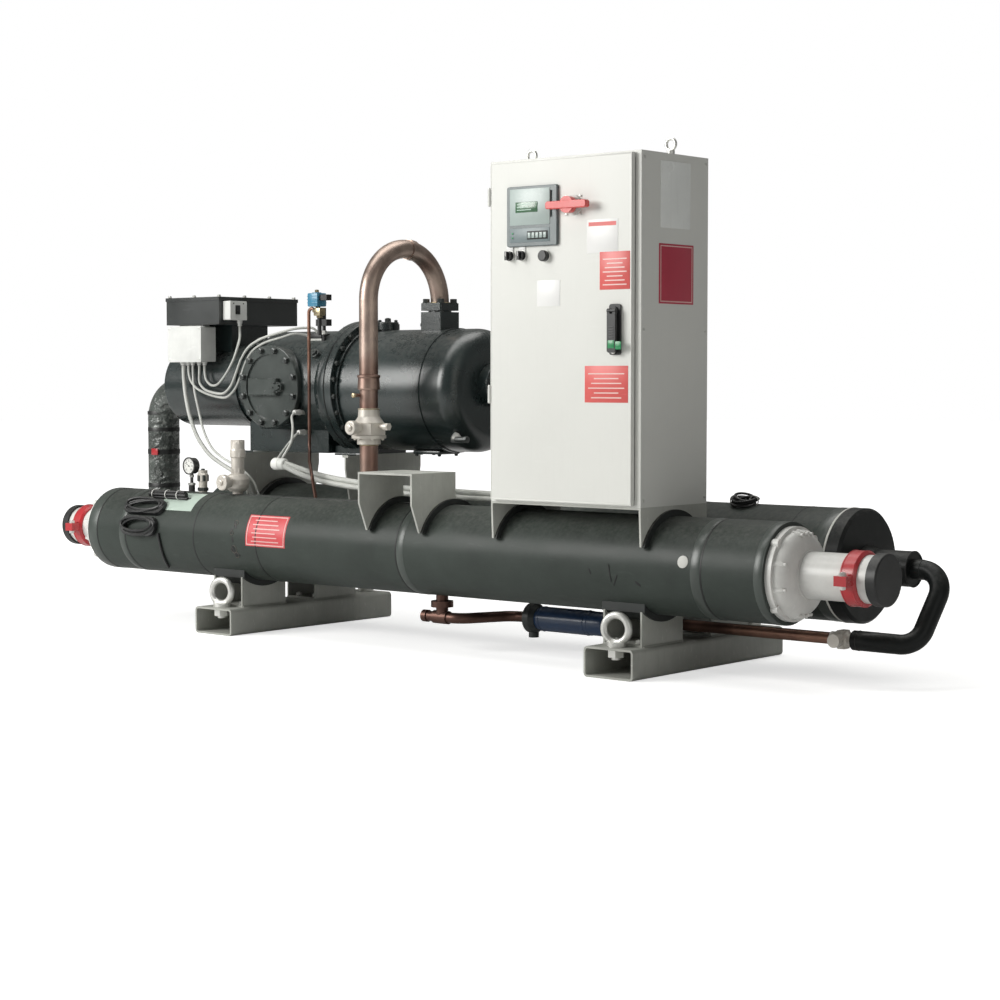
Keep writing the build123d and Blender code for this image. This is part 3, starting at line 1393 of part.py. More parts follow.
def door_handle():
    """Flat dish that carries the swing handle."""
    front = door_front()
    half = HANDLE_WIDTH / 2
    plate = box_between((HANDLE_X - half, front - HANDLE_PLATE, HANDLE_BOTTOM), (HANDLE_X + half, front, HANDLE_TOP))
    return fillet(plate.edges().filter_by(Axis.Y), 10)


def handle_hub():
    """Turning disc with a tongue that the lever's fork straddles."""
    front = door_front() - HANDLE_PLATE - SEAT_GAP
    disc = cylinder_y(15, front - HUB_DISC, front, HANDLE_X, HUB_Z)
    pin_y = hub_pin_y()
    tongue = cylinder_x(LEVER_EAR - 1, HANDLE_X - TONGUE_HALF, HANDLE_X + TONGUE_HALF, pin_y, HUB_Z)
    tongue += box_between(
        (HANDLE_X - TONGUE_HALF, pin_y, HUB_Z - LEVER_EAR + 1),
        (HANDLE_X + TONGUE_HALF, front - HUB_DISC + 1, HUB_Z + LEVER_EAR - 1),
    )
    bore = cylinder_x(HANDLE_PIN + 0.05, HANDLE_X - 20, HANDLE_X + 20, pin_y, HUB_Z)
    return disc + tongue - bore


def hub_pin_y():
    return door_front() - HANDLE_PLATE - SEAT_GAP - HUB_DISC - LEVER_EAR - 1


def handle_lever():
    """Lever with a forked top end and its cross pin, hanging down in front of the dish."""
    pin_y = hub_pin_y()
    half = LEVER_WIDTH / 2
    bar = box_between(
        (HANDLE_X - half, pin_y - LEVER_EAR + 2, HANDLE_BOTTOM + 8), (HANDLE_X + half, pin_y + LEVER_EAR - 2, HUB_Z)
    )
    bar = fillet(bar.edges().filter_by(Axis.Y).group_by(Axis.Z)[0], 9)
    bar += cylinder_x(LEVER_EAR, HANDLE_X - half, HANDLE_X + half, pin_y, HUB_Z)
    slot = TONGUE_HALF + 0.5
    bar -= box_between(
        (HANDLE_X - slot, pin_y - 20, HUB_Z - LEVER_EAR - 3), (HANDLE_X + slot, pin_y + 20, HUB_Z + 20)
    )
    return bar + cylinder_x(HANDLE_PIN, HANDLE_X - half, HANDLE_X + half, pin_y, HUB_Z)


def selector_buttons():
    """Two selector switches and a round button."""
    front = door_front()
    pieces = []
    for x in SELECTOR_PLACES:
        half = (SELECTOR_HIGH - SELECTOR_LOW) / 2
        middle = (SELECTOR_HIGH + SELECTOR_LOW) / 2
        collar = cylinder_y(18, front - 8, front, x, middle)
        knob = cylinder_y(14, front - 20, front - 8, x, middle)
        bar = box_between((x - 5, front - 30, middle - half + 8), (x + 5, front - 18, middle + half - 8))
        pieces.append(collar + knob + bar)
    button = cylinder_y(BUTTON_RADIUS, front - 24, front, BUTTON_X, BUTTON_Z)
    pieces.append(fillet(button.edges().filter_by(GeomType.CIRCLE).sort_by(Axis.Y)[0], 4))
    return Compound(pieces)


def cabinet_eye(x):
    """Small eye bolt in the top of the cabinet."""
    top = CABINET_BOTTOM + CABINET_HEIGHT
    y = CABINET_BACK - CABINET_DEPTH / 2
    collar = cylinder_z(CABINET_EYE_RING - CABINET_EYE_BAR, top, top + CABINET_EYE_RISE - 22, x, y)
    ring = Rot(90, 0, 0) * Torus(CABINET_EYE_RING, CABINET_EYE_BAR)
    return collar + Pos(x, y, top + CABINET_EYE_RISE) * ring


def cabinet_eyes():
    return Compound([cabinet_eye(CABINET_RIGHT - CABINET_EYE_INSET), cabinet_eye(CABINET_RIGHT - CABINET_WIDTH + CABINET_EYE_INSET + 7)])


def pieces():
    half = RAIL_SPACING / 2
    return {
        "base_rail_left": base_rail(-half),
        "base_rail_right": base_rail(half),
        "lifting_eyes": lifting_eyes(),
        "saddles_left": saddles(-half),
        "saddles_right": saddles(half),
        "support_pads": support_pads(),
        "condenser_shell": condenser_shell(),
        "evaporator_shell": evaporator_shell(),
        "condenser_head_right": condenser_head(CONDENSER_RIGHT, 1, RIGHT_PIPE_LENGTH),
        "condenser_head_left": condenser_head(CONDENSER_LEFT, -1, LEFT_PIPE_LENGTH),
        "pipe_couplings": pipe_couplings(),
        "blanking_stubs": blanking_stubs(),
        "end_caps": end_caps(),
        "evaporator_cap_right": evaporator_cap_right(),
        "evaporator_head_left": evaporator_head_left(),
        "evaporator_pipes": evaporator_pipes(),
        "inlet_loop": inlet_loop(),
        "expansion_valve": expansion_valve(),
        "liquid_line": liquid_line(),
        "liquid_valve": liquid_valve(),
        "filter_drier": filter_drier(),
        "liquid_outlet": liquid_outlet(),
        "suction_pipe": suction_pipe(),
        "suction_elbow": suction_elbow(),
        "compressor_motor": compressor_motor(),
        "compressor_body": compressor_body(),
        "side_cover": side_cover(),
        "main_flange": main_flange(),
        "oil_separator": oil_separator(),
        "separator_foot": separator_foot(),
        "bracket_bands": bracket_bands(),
        "support_bands": support_bands(),
        "terminal_box": terminal_box(),
        "junction_box": junction_box(),
        "thermostat_box": thermostat_box(),
        "discharge_block": discharge_block(),
        "discharge_pipe": discharge_pipe(),
        "discharge_valve": discharge_valve(),
        "compressor_support_left": compressor_support(SUPPORT_PLACES[0]),
        "compressor_support_right": compressor_support(SUPPORT_PLACES[1]),
        "spare_bracket": spare_bracket(),
        "cabinet_bracket": cabinet_bracket(),
        "relief_valve": relief_valve(),
        "pressure_gauge": pressure_gauge(),
        "service_fitting": service_fitting(),
        "oil_line": oil_line(),
        "solenoid_valve": solenoid_valve(),
        "signal_cables": signal_leads(),
        "conduit_bundle": conduit_bundle(),
        "cable_hank": cable_hank(),
        "cabinet_body": cabinet_body(),
        "cabinet_door": cabinet_door(),
        "controller_panel": controller_panel(),
        "main_switch_base": main_switch_base(),
        "main_switch_handle": main_switch_handle(),
        "door_handle": door_handle(),
        "handle_hub": handle_hub(),
        "handle_lever": handle_lever(),
        "selector_buttons": selector_buttons(),
        "cabinet_eyes": cabinet_eyes(),
    }


def main():
    whole = pieces()
    box = Compound(list(whole.values())).bounding_box()
    shift = Pos(-box.center().X, -box.center().Y, -box.min.Z)
    print("moved by", -box.center().X, -box.center().Y, -box.min.Z, "size", box.size)
    for name, shape in whole.items():
        export_step(shift * shape, f"parts/{name}.step")


main()
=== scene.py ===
import bpy, bmesh
from math import asin, cos, pi, radians, sin
from mathutils import Matrix, Vector


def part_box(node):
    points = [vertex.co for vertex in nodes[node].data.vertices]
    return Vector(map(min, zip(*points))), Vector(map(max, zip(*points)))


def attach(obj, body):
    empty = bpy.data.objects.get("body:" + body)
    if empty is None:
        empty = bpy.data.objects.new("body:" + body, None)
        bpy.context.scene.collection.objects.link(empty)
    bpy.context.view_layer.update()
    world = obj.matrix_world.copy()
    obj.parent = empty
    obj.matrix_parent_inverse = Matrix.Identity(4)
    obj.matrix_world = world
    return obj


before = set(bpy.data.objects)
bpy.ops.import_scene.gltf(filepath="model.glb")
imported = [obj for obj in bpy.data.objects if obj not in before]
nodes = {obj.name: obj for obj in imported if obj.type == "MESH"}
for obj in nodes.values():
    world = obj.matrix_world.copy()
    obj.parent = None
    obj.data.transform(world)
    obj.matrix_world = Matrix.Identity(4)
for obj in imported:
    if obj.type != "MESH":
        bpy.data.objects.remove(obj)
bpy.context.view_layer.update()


# The room: a pale floor that runs far out, a white surround and soft lamps, the largest at the left
# front. The camera stands to the right and in front of the cabinet, and is placed in metres from the
# cabinet's lower front corner.
scene = bpy.context.scene
scene.view_settings.view_transform = "Standard"
cabinet_low, cabinet_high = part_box("cabinet_body")
camera_data = bpy.data.cameras.new("camera")
camera_data.lens = 77.263
camera_pitch = 3.276
camera_turn = 40.198
camera_from_corner = (4.479, -6.0655, 0.459)
camera_data.sensor_width = 36
camera_data.clip_end = 200
camera = bpy.data.objects.new("camera", camera_data)
cabinet_corner = (cabinet_high[0], cabinet_low[1], cabinet_low[2])
camera.location = [edge + away for edge, away in zip(cabinet_corner, camera_from_corner)]
camera.rotation_euler = (radians(90 - camera_pitch), 0, radians(camera_turn))
scene.collection.objects.link(camera)
scene.camera = camera


def add_node(tree, kind, **values):
    """Shader node, its settings and inputs given by name, an input as a value or another's output."""
    node = tree.nodes.new("ShaderNode" + kind)
    for name, value in values.items():
        label = name.replace("_", " ")
        if hasattr(node, name):
            setattr(node, name, value)
        elif isinstance(value, bpy.types.NodeSocket):
            tree.links.new(value, node.inputs[label])
        else:
            node.inputs[label].default_value = value
    return node


def compute(tree, operation, first, second, **settings):
    node = add_node(tree, "Math", operation=operation, **settings)
    for socket, value in zip(node.inputs, (first, second)):
        if isinstance(value, bpy.types.NodeSocket):
            tree.links.new(value, socket)
        else:
            socket.default_value = value
    return node.outputs[0]


def remap(tree, source, low, high, out_low=0.0, out_high=1.0):
    step = add_node(tree, "MapRange", Value=source, From_Min=low, From_Max=high, To_Min=out_low,
                    To_Max=out_high)
    return step.outputs[0]


floor_bm = bmesh.new()
bmesh.ops.create_circle(floor_bm, cap_ends=True, segments=64, radius=45)
floor_mesh = bpy.data.meshes.new("floor")
floor_bm.to_mesh(floor_mesh)
floor_bm.free()
floor = bpy.data.objects.new("floor", floor_mesh)
scene.collection.objects.link(floor)
floor_white = bpy.data.materials.new("floor_white")
floor_white.use_nodes = True
floor_mesh.materials.append(floor_white)
tree = floor_white.node_tree
shader = tree.nodes["Principled BSDF"]
shader.inputs["Base Color"].default_value = (0.82, 0.82, 0.82, 1)
shader.inputs["Roughness"].default_value = 0.9
shader.inputs["Emission Color"].default_value = (1, 1, 1, 1)
place = add_node(tree, "TexCoord")
reach = add_node(tree, "VectorMath", operation="LENGTH", Vector=place.outputs["Object"])
glow = remap(tree, reach.outputs["Value"], 2.6, 5.5, 0.62, 1.05)
rays = add_node(tree, "LightPath")
seen = compute(tree, "MULTIPLY", glow, rays.outputs["Is Camera Ray"])
tree.links.new(seen, shader.inputs["Emission Strength"])

world = bpy.data.worlds.new("surround")
scene.world = world
world.use_nodes = True
tree = world.node_tree
dim = tree.nodes["Background"]
dim.inputs["Color"].default_value = (1.0, 1.0, 0.965, 1)
dim.inputs["Strength"].default_value = 0.19
bright = add_node(tree, "Background", Color=(1, 1, 1, 1), Strength=1.0)
rays = add_node(tree, "LightPath")
choice = add_node(tree, "MixShader")
tree.links.new(rays.outputs["Is Camera Ray"], choice.inputs[0])
tree.links.new(dim.outputs[0], choice.inputs[1])
tree.links.new(bright.outputs[0], choice.inputs[2])
tree.links.new(choice.outputs[0], tree.nodes["World Output"].inputs["Surface"])


def hang_lamp(name, place, aim, size, power):
    data = bpy.data.lights.new(name, "AREA")
    data.shape = "RECTANGLE"
    data.size, data.size_y = size
    data.energy = power
    data.color = (1.0, 0.995, 0.97)
    lamp = bpy.data.objects.new(name, data)
    lamp.location = place
    lamp.rotation_euler = (Vector(aim) - Vector(place)).to_track_quat("-Z", "Y").to_euler()
    scene.collection.objects.link(lamp)


hang_lamp("left_front", (-4.5, -7.0, 4.0), (0, 0, 0.9), (5, 4), 620)
hang_lamp("over", (-0.5, 0.2, 6.0), (0, 0, 0.6), (7, 3), 210)
hang_lamp("right_low", (7.0, -3.0, 2.2), (0.5, 0, 0.8), (3, 3), 24)


# The base is two lengths of rectangular steel tube, cut square and left open at the ends, with the
# saddles welded on. It is sprayed grey, and dust lies on its upper faces. Places are given in
# millimetres from the middle of the base, half way between the shells.
shell_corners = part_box("condenser_shell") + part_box("evaporator_shell")
zero = Vector((
    (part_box("base_rail_left")[0][0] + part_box("base_rail_right")[1][0]) / 2,
    sum(corner[1] for corner in shell_corners) / 4,
    0,
))


def at(x, y, z):
    return zero + Vector((x, y, z)) / 1000


def span(name):
    """Lowest and highest corner of a CAD node, in the same millimetres."""
    return [(Vector(corner) - zero) * 1000 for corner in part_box(name)]


condenser_low, condenser_high = span("condenser_shell")
evaporator_low, evaporator_high = span("evaporator_shell")
condenser_y = (condenser_low.y + condenser_high.y) / 2
evaporator_y = (evaporator_low.y + evaporator_high.y) / 2


def new_group(name, inputs, outputs):
    group = bpy.data.node_groups.new(name, "ShaderNodeTree")
    for label, kind, value in inputs:
        socket = group.interface.new_socket(label, in_out="INPUT", socket_type="NodeSocket" + kind)
        if value is not None:
            socket.default_value = value
    for label, kind in outputs:
        group.interface.new_socket(label, in_out="OUTPUT", socket_type="NodeSocket" + kind)
    return group, group.nodes.new("NodeGroupInput"), group.nodes.new("NodeGroupOutput")


# fine bumps of sprayed paint, cast skin or moulded plastic
grain, given, result = new_group(
    "grain",
    [
        ("Vector", "Vector", None), ("Scale", "Float", 400.0), ("Height", "Float", 0.0002),
        ("Normal", "Vector", None),
    ],
    [("Normal", "Vector")],
)
fine = add_node(grain, "TexNoise", Vector=given.outputs["Vector"], Scale=given.outputs["Scale"],
                Detail=3.0, Roughness=0.55)
rise = add_node(grain, "Bump", Strength=1.0, Height=fine.outputs["Fac"],
                Distance=given.outputs["Height"], Normal=given.outputs["Normal"])
grain.links.new(rise.outputs["Normal"], result.inputs["Normal"])

# wide soft clouds, fine streaks down the surface, thin scuffs, and dust that settles on upper faces
wear, given, result = new_group(
    "wear",
    [
        ("Vector", "Vector", None), ("Cloud Scale", "Float", 4.0), ("Dust", "Float", 0.3),
        ("Streaks", "Float", 0.2),
    ],
    [("Cloud", "Float"), ("Dust", "Float"), ("Streak", "Float"), ("Scuff", "Float")],
)
vector = given.outputs["Vector"]
cloud = add_node(wear, "TexNoise", Vector=vector, Scale=given.outputs["Cloud Scale"], Detail=5.0,
                 Roughness=0.6)
facing = add_node(wear, "NewGeometry")
split = add_node(wear, "SeparateXYZ", Vector=facing.outputs["Normal"])
upward = remap(wear, split.outputs["Z"], 0.35, 0.98)
speckle = add_node(wear, "TexNoise", Vector=vector, Scale=60.0, Detail=6.0, Roughness=0.7)
patchy = remap(wear, speckle.outputs["Fac"], 0.35, 0.7)
settled = compute(wear, "MULTIPLY", upward, patchy)
dusty = compute(wear, "MULTIPLY", settled, given.outputs["Dust"])
streak_space = add_node(wear, "Mapping", Vector=vector, Scale=(30, 30, 1.6))
runs = add_node(wear, "TexNoise", Vector=streak_space.outputs["Vector"], Scale=2.0, Detail=4.0,
                Roughness=0.6)
streaky = compute(wear, "MULTIPLY", remap(wear, runs.outputs["Fac"], 0.55, 0.78), given.outputs["Streaks"])
scratch_space = add_node(wear, "Mapping", Vector=vector, Rotation=(0.4, 0.9, 0.3), Scale=(3, 40, 12))
scratches = add_node(wear, "TexNoise", Vector=scratch_space.outputs["Vector"], Scale=3.0, Detail=2.0,
                     Roughness=0.5)
scuffed = remap(wear, scratches.outputs["Fac"], 0.66, 0.74)
wear.links.new(cloud.outputs["Fac"], result.inputs["Cloud"])
wear.links.new(dusty, result.inputs["Dust"])
wear.links.new(streaky, result.inputs["Streak"])
wear.links.new(scuffed, result.inputs["Scuff"])


def blend_colours(tree, factor, first, second):
    mix = add_node(tree, "Mix", data_type="RGBA")
    tree.links.new(factor, mix.inputs[0])
    for socket, colour in ((mix.inputs[6], first), (mix.inputs[7], second)):
        if isinstance(colour, tuple):
            socket.default_value = (*colour, 1)
        else:
            tree.links.new(colour, socket)
    return mix.outputs[2]


def finish_look(name, colour, rough=0.45, metal=0.0, cloud=0.12, dust=0.3, streaks=0.15, scuff=0.1,
                grain_scale=500, grain_height=0.00015, coat=0.0, cloud_scale=4.0,
                dust_colour=(0.46, 0.45, 0.42)):
    """Coated or plain surface with clouding, streaks, scuffs, settled dust and a fine grain."""
    material = bpy.data.materials.new(name)
    material.use_nodes = True
    tree = material.node_tree
    shader = tree.nodes["Principled BSDF"]
    shader.inputs["Metallic"].default_value = metal
    shader.inputs["Coat Weight"].default_value = coat
    shader.inputs["Coat Roughness"].default_value = 0.25
    place = add_node(tree, "TexCoord")
    ages = add_node(tree, "Group", node_tree=wear, Vector=place.outputs["Object"],
                    Cloud_Scale=cloud_scale, Dust=dust, Streaks=streaks)
    deep = tuple(channel * (1 - 2 * cloud) for channel in colour)
    light = tuple(min(1.0, channel * (1 + cloud)) for channel in colour)
    base = blend_colours(tree, remap(tree, ages.outputs["Cloud"], 0.3, 0.7), deep, light)
    stained = tuple(channel * 0.55 for channel in colour)
    worn = tuple(min(1.0, channel * 1.6 + 0.03) for channel in colour)
    base = blend_colours(tree, ages.outputs["Streak"], base, stained)
    base = blend_colours(tree, compute(tree, "MULTIPLY", ages.outputs["Scuff"], scuff), base, worn)
    base = blend_colours(tree, ages.outputs["Dust"], base, dust_colour)
    tree.links.new(base, shader.inputs["Base Color"])
    shape = add_node(tree, "NewGeometry")
    skin = add_node(tree, "Group", node_tree=grain, Vector=place.outputs["Object"], Scale=grain_scale,
                    Height=grain_height, Normal=shape.outputs["Normal"])
    tree.links.new(skin.outputs["Normal"], shader.inputs["Normal"])
    smoothest = max(0.05, rough - 0.08)
    roughest = min(1.0, rough + 0.12)
    clouded = remap(tree, ages.outputs["Cloud"], 0.3, 0.75, smoothest, roughest)
    matt = compute(tree, "ADD", clouded, ages.outputs["Dust"], use_clamp=True)
    tree.links.new(matt, shader.inputs["Roughness"])
    return material


def coat_nodes(material, *names):
    for name in names:
        mesh = nodes[name].data
        mesh.materials.clear()
        mesh.materials.append(material)


grey_paint = finish_look("grey_paint", (0.43, 0.44, 0.405), 0.42, dust=0.4, streaks=0.25, scuff=0.3)
bracket_paint = finish_look("bracket_paint", (0.53, 0.54, 0.50), 0.40, dust=0.2, streaks=0.2, scuff=0.25)
black_foam = finish_look("black_foam", (0.022, 0.026, 0.025), 0.55, dust=0.35, grain_scale=900,
                         grain_height=0.0002)
zinc = finish_look("zinc", (0.78, 0.78, 0.75), 0.32, metal=0.75, cloud=0.08, dust=0.12, streaks=0.05,
                   scuff=0.2)
coat_nodes(grey_paint, "base_rail_left", "base_rail_right", "saddles_left", "saddles_right")
coat_nodes(bracket_paint, "compressor_support_left", "compressor_support_right", "spare_bracket",
           "cabinet_bracket")
coat_nodes(black_foam, "support_pads", "bracket_bands", "support_bands")
coat_nodes(zinc, "lifting_eyes", "cabinet_eyes")


def finish_piece(name, bm, material, body="chiller", smooth=True):
    bmesh.ops.recalc_face_normals(bm, faces=bm.faces)
    mesh = bpy.data.meshes.new(name)
    bm.to_mesh(mesh)
    bm.free()
    for face in mesh.polygons:
        face.use_smooth = smooth
    piece = bpy.data.objects.new(name, mesh)
    scene.collection.objects.link(piece)
    mesh.materials.append(material)
    if smooth:
        mesh.set_sharp_from_angle(angle=radians(35))
    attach(piece, body)


def turn_to(axis):
    return Vector((0, 0, 1)).rotation_difference(Vector(axis).normalized()).to_matrix().to_4x4()


def add_drum(bm, start, axis, length, radius, top=None, sides=32, rounding=0.0):
    """Round or many-sided bar from start along axis, in millimetres, its far edge bevelled."""
    far = Vector(axis).normalized()
    middle = at(*(Vector(start) + far * length / 2))
    far_radius = radius if top is None else top
    made = bmesh.ops.create_cone(
        bm, cap_ends=True, segments=sides, radius1=radius / 1000, radius2=far_radius / 1000,
        depth=length / 1000, matrix=Matrix.Translation(middle) @ turn_to(axis),
    )
    if rounding:
        tip = at(*(Vector(start) + far * length))
        edges = {e for v in made["verts"] for e in v.link_edges
                 if all(abs((w.co - tip).dot(far)) < 1e-5 for w in e.verts)}
        bmesh.ops.bevel(bm, geom=list(edges), offset=rounding / 1000, segments=2, profile=0.5,
                        affect="EDGES", material=-1)


def add_block(bm, low, high, rounding=0.0):
    """Box between two corners, in millimetres, all its edges bevelled."""
    size = (Vector(high) - Vector(low)) / 1000
    middle = at(*((Vector(high) + Vector(low)) / 2))
    stretch = Matrix.Translation(middle) @ Matrix.Diagonal((*size, 1))
    made = bmesh.ops.create_cube(bm, size=1, matrix=stretch)
    if rounding:
        edges = list({e for v in made["verts"] for e in v.link_edges})
        bmesh.ops.bevel(bm, geom=edges, offset=rounding / 1000, segments=2, profile=0.5,
                        affect="EDGES", material=-1)


def block_piece(name, low, high, rounding, material, body="chiller", smooth=True):
    bm = bmesh.new()
    add_block(bm, low, high, rounding)
    finish_piece(name, bm, material, body, smooth)


def add_bolt(bm, spot, axis, width, proud=None, washer=True):
    """Hexagon head with its washer, standing on a face at spot, in millimetres."""
    head = proud or width * 0.42
    base = Vector(spot)
    far = Vector(axis).normalized()
    if washer:
        add_drum(bm, base, far, width * 0.1, width * 0.62, sides=20)
        base = base + far * width * 0.1
    add_drum(bm, base, far, head, width * 0.56, sides=6, rounding=width * 0.06)
    add_drum(bm, base + far * head, far, width * 0.08, width * 0.3, sides=12)


def bolt_circle(bm, centre, axis, radius, count, first, width, **kind):
    """Bolts evenly round an axis that runs along x, y or z, the first at an angle in degrees."""
    across = [Vector(way) for way in ((1, 0, 0), (0, 1, 0), (0, 0, 1)) if not Vector(way).dot(Vector(axis))]
    for number in range(count):
        turn = radians(first + 360 * number / count)
        spot = Vector(centre) + radius * (cos(turn) * across[0] + sin(turn) * across[1])
        add_bolt(bm, spot, axis, width, **kind)


def add_ring(bm, centre, axis, radius, bar, sides=48, around=10):
    """Closed round ring about an axis, in millimetres."""
    turn = Matrix.Translation(at(*centre)) @ turn_to(axis)
    made = bmesh.ops.create_circle(
        bm, segments=around, radius=bar / 1000,
        matrix=turn @ Matrix.Translation((radius / 1000, 0, 0)) @ Matrix.Rotation(pi / 2, 4, "X"),
    )
    edges = list({e for v in made["verts"] for e in v.link_edges})
    bmesh.ops.spin(bm, geom=made["verts"] + edges, cent=at(*centre), axis=turn.to_3x3() @ Vector((0, 0, 1)),
                   angle=2 * pi, steps=sides, use_merge=True)


rail_boxes = (span("base_rail_left"), span("base_rail_right"))
rail_top = rail_boxes[0][1].z
saddle_foot = 8
saddle_half_width = 88
saddle_weld = 244
welds = bmesh.new()
rail_bolts = bmesh.new()
for low, high in rail_boxes:
    rail = (low.x + high.x) / 2
    for y in (condenser_y, evaporator_y):
        for side in (-1, 1):
            start = (rail + side * saddle_half_width, y - saddle_weld / 2, rail_top)
            add_drum(welds, start, (0, 1, 0), saddle_weld, 5, sides=8)
        for x in (-50, 50):
            for step in (-90, 90):
                add_bolt(rail_bolts, (rail + x, y + step, rail_top + saddle_foot), (0, 0, 1), 24)
finish_piece("saddle_welds", welds, grey_paint)
finish_piece("saddle_bolts", rail_bolts, zinc)


# Both shells are wrapped in glued black rubber foam, with round seams where the sheets meet, long seams
# at the back and on top, taped ends, a few tears, two blank plates and a pale inspection dot.
def foam_finish(name, colour, rough=0.42):
    material = finish_look(name, colour, rough, cloud=0.16, dust=0.16, streaks=0.1, scuff=0.12,
                           grain_scale=700, grain_height=0.00025, coat=0.03, cloud_scale=2.5)
    tree = material.node_tree
    shader = tree.nodes["Principled BSDF"]
    place = add_node(tree, "TexCoord")
    dents = add_node(tree, "TexNoise", Vector=place.outputs["Object"], Scale=7.0, Detail=2.0, Roughness=0.5)
    press = add_node(tree, "Bump", Strength=0.5, Distance=0.006, Height=dents.outputs["Fac"])
    skin = shader.inputs["Normal"].links[0].from_node
    tree.links.new(press.outputs["Normal"], skin.inputs["Normal"])
    shader.inputs["Specular IOR Level"].default_value = 0.22
    return material


shell_foam = foam_finish("shell_foam", (0.042, 0.052, 0.046))
cap_foam = foam_finish("cap_foam", (0.010, 0.012, 0.012), 0.36)
coat_nodes(shell_foam, "condenser_shell", "evaporator_shell")
coat_nodes(cap_foam, "evaporator_cap_right", "evaporator_head_left", "inlet_loop")
seam_black = finish_look("seam_black", (0.008, 0.009, 0.009), 0.5, dust=0.1, grain_scale=900)
foam_tape = finish_look("foam_tape", (0.050, 0.062, 0.055), 0.34, dust=0.1, grain_scale=600, coat=0.2)
white_sealant = finish_look("white_sealant", (0.72, 0.72, 0.68), 0.55, dust=0.0, grain_scale=300)
shell_z = (condenser_low.z + condenser_high.z) / 2
condenser_radius = (condenser_high.y - condenser_low.y) / 2
evaporator_radius = (evaporator_high.y - evaporator_low.y) / 2


def hoop(bm, x, y, radius, width, height):
    """Flat band round a shell, square in section with its outer corners rounded."""
    corners = bmesh.ops.create_circle(bm, segments=4, radius=1)["verts"]
    for corner, (along, out) in zip(corners, ((-0.5, 0), (-0.42, 1), (0.42, 1), (0.5, 0))):
        corner.co = at(x + along * width, y, shell_z + radius + out * height - 0.4)
    edges = list({e for v in corners for e in v.link_edges})
    bmesh.ops.spin(bm, geom=corners + edges, cent=at(x, y, shell_z), axis=(1, 0, 0), angle=2 * pi,
                   steps=96, use_merge=True)


seams = bmesh.new()
for x in (-1826, -1636, -1194, -814, -26, 1411, 1640):
    hoop(seams, x, condenser_y, condenser_radius, 7, 1.1)
for x in (-1400, -600, 240, 1010, 1480):
    hoop(seams, x, evaporator_y, evaporator_radius, 5, 0.9)
finish_piece("shell_seams", seams, seam_black)
tapes = bmesh.new()
for x, width in ((-1857, 55), (-1660, 34), (-4, 36), (1387, 40), (1645, 34)):
    hoop(tapes, x, condenser_y, condenser_radius, width, 1.3)
for x in (1624, -1566):
    hoop(tapes, x, evaporator_y, evaporator_radius, 50, 1.3)
finish_piece("shell_tapes", tapes, foam_tape)
bead = bmesh.new()
hoop(bead, evaporator_high.x, evaporator_y, evaporator_radius + 1, 9, 2.5)
finish_piece("cap_sealant", bead, white_sealant)


def shell_point(x, angle, lift=0.0, y=condenser_y, radius=condenser_radius):
    """Point on a shell and the way out of it there, by its angle up from the front in radians."""
    out = Vector((0, -cos(angle), sin(angle)))
    return Vector((x, y, shell_z)) + out * (radius + lift), out


long_seams = bmesh.new()
condenser_back = shell_point(condenser_low.x + 2, radians(120))[0]
add_drum(long_seams, condenser_back, (1, 0, 0), 3548, 1.6, sides=8)
evaporator_back = shell_point(evaporator_low.x + 2, radians(130), 0, evaporator_y, evaporator_radius)[0]
add_drum(long_seams, evaporator_back, (1, 0, 0), 3240, 1.6, sides=8)
condenser_top = shell_point(-1180, radians(80), -0.6)[0]
add_drum(long_seams, condenser_top, (1, 0, 0), 1140, 2.6, sides=8)
finish_piece("long_seams", long_seams, seam_black)


def on_shell(bm, x0, x1, low, high, lift, thick=0.8):
    """Thin sheet bent round the condenser between two heights, standing off it by lift."""
    start = asin((low - shell_z) / condenser_radius)
    end = asin((high - shell_z) / condenser_radius)
    made = bmesh.ops.create_grid(bm, x_segments=1, y_segments=12, size=1)
    for corner in made["verts"]:
        turn = start + (corner.co.y + 1) / 2 * (end - start)
        corner.co = at(*shell_point(x0 + (corner.co.x + 1) / 2 * (x1 - x0), turn, lift)[0])
    faces = list({f for v in made["verts"] for f in v.link_faces})
    bmesh.ops.solidify(bm, geom=faces, thickness=thick / 1000)


def plate_finish(name, colour):
    """Painted plate, slightly crazed and rubbed."""
    return finish_look(name, colour, 0.35, cloud=0.06, dust=0.05, streaks=0.05, scuff=0.25, grain_scale=250)


def rule_finish(name, colour):
    """Pale lines printed on a plate."""
    return finish_look(name, colour, 0.35, cloud=0.03, dust=0.0, streaks=0.0, grain_scale=250)


red_field = plate_finish("red_plate", (0.66, 0.075, 0.085))
red_rule = rule_finish("red_plate_rule", (0.80, 0.50, 0.48))
green_field = plate_finish("green_plate", (0.50, 0.60, 0.53))
shell_plates = bmesh.new()
on_shell(shell_plates, -872, -640, 380, 506, 0.3)
finish_piece("condenser_red_plate", shell_plates, red_field)
lines = bmesh.new()
for low, high in ((384, 388), (498, 502)):
    on_shell(lines, -866, -646, low, high, 1.2, 0.3)
for x in (-866, -650):
    on_shell(lines, x, x + 4, 384, 502, 1.2, 0.3)
for row in range(6):
    on_shell(lines, -838 + 8 * (row % 2), -676 - 12 * (row % 3), 398 + row * 17, 402 + row * 17, 1.2, 0.3)
finish_piece("condenser_plate_rules", lines, red_rule)
label = bmesh.new()
on_shell(label, -1462, -1245, 505, 573, 0.3, 1.2)
finish_piece("condenser_blank_label", label, green_field)
dot = bmesh.new()
spot, out = shell_point(1336, radians(11), -0.5)
add_drum(dot, spot, out, 2.4, 22, sides=40, rounding=0.6)
finish_piece("inspection_dot", dot, white_sealant)
gouges = bmesh.new()
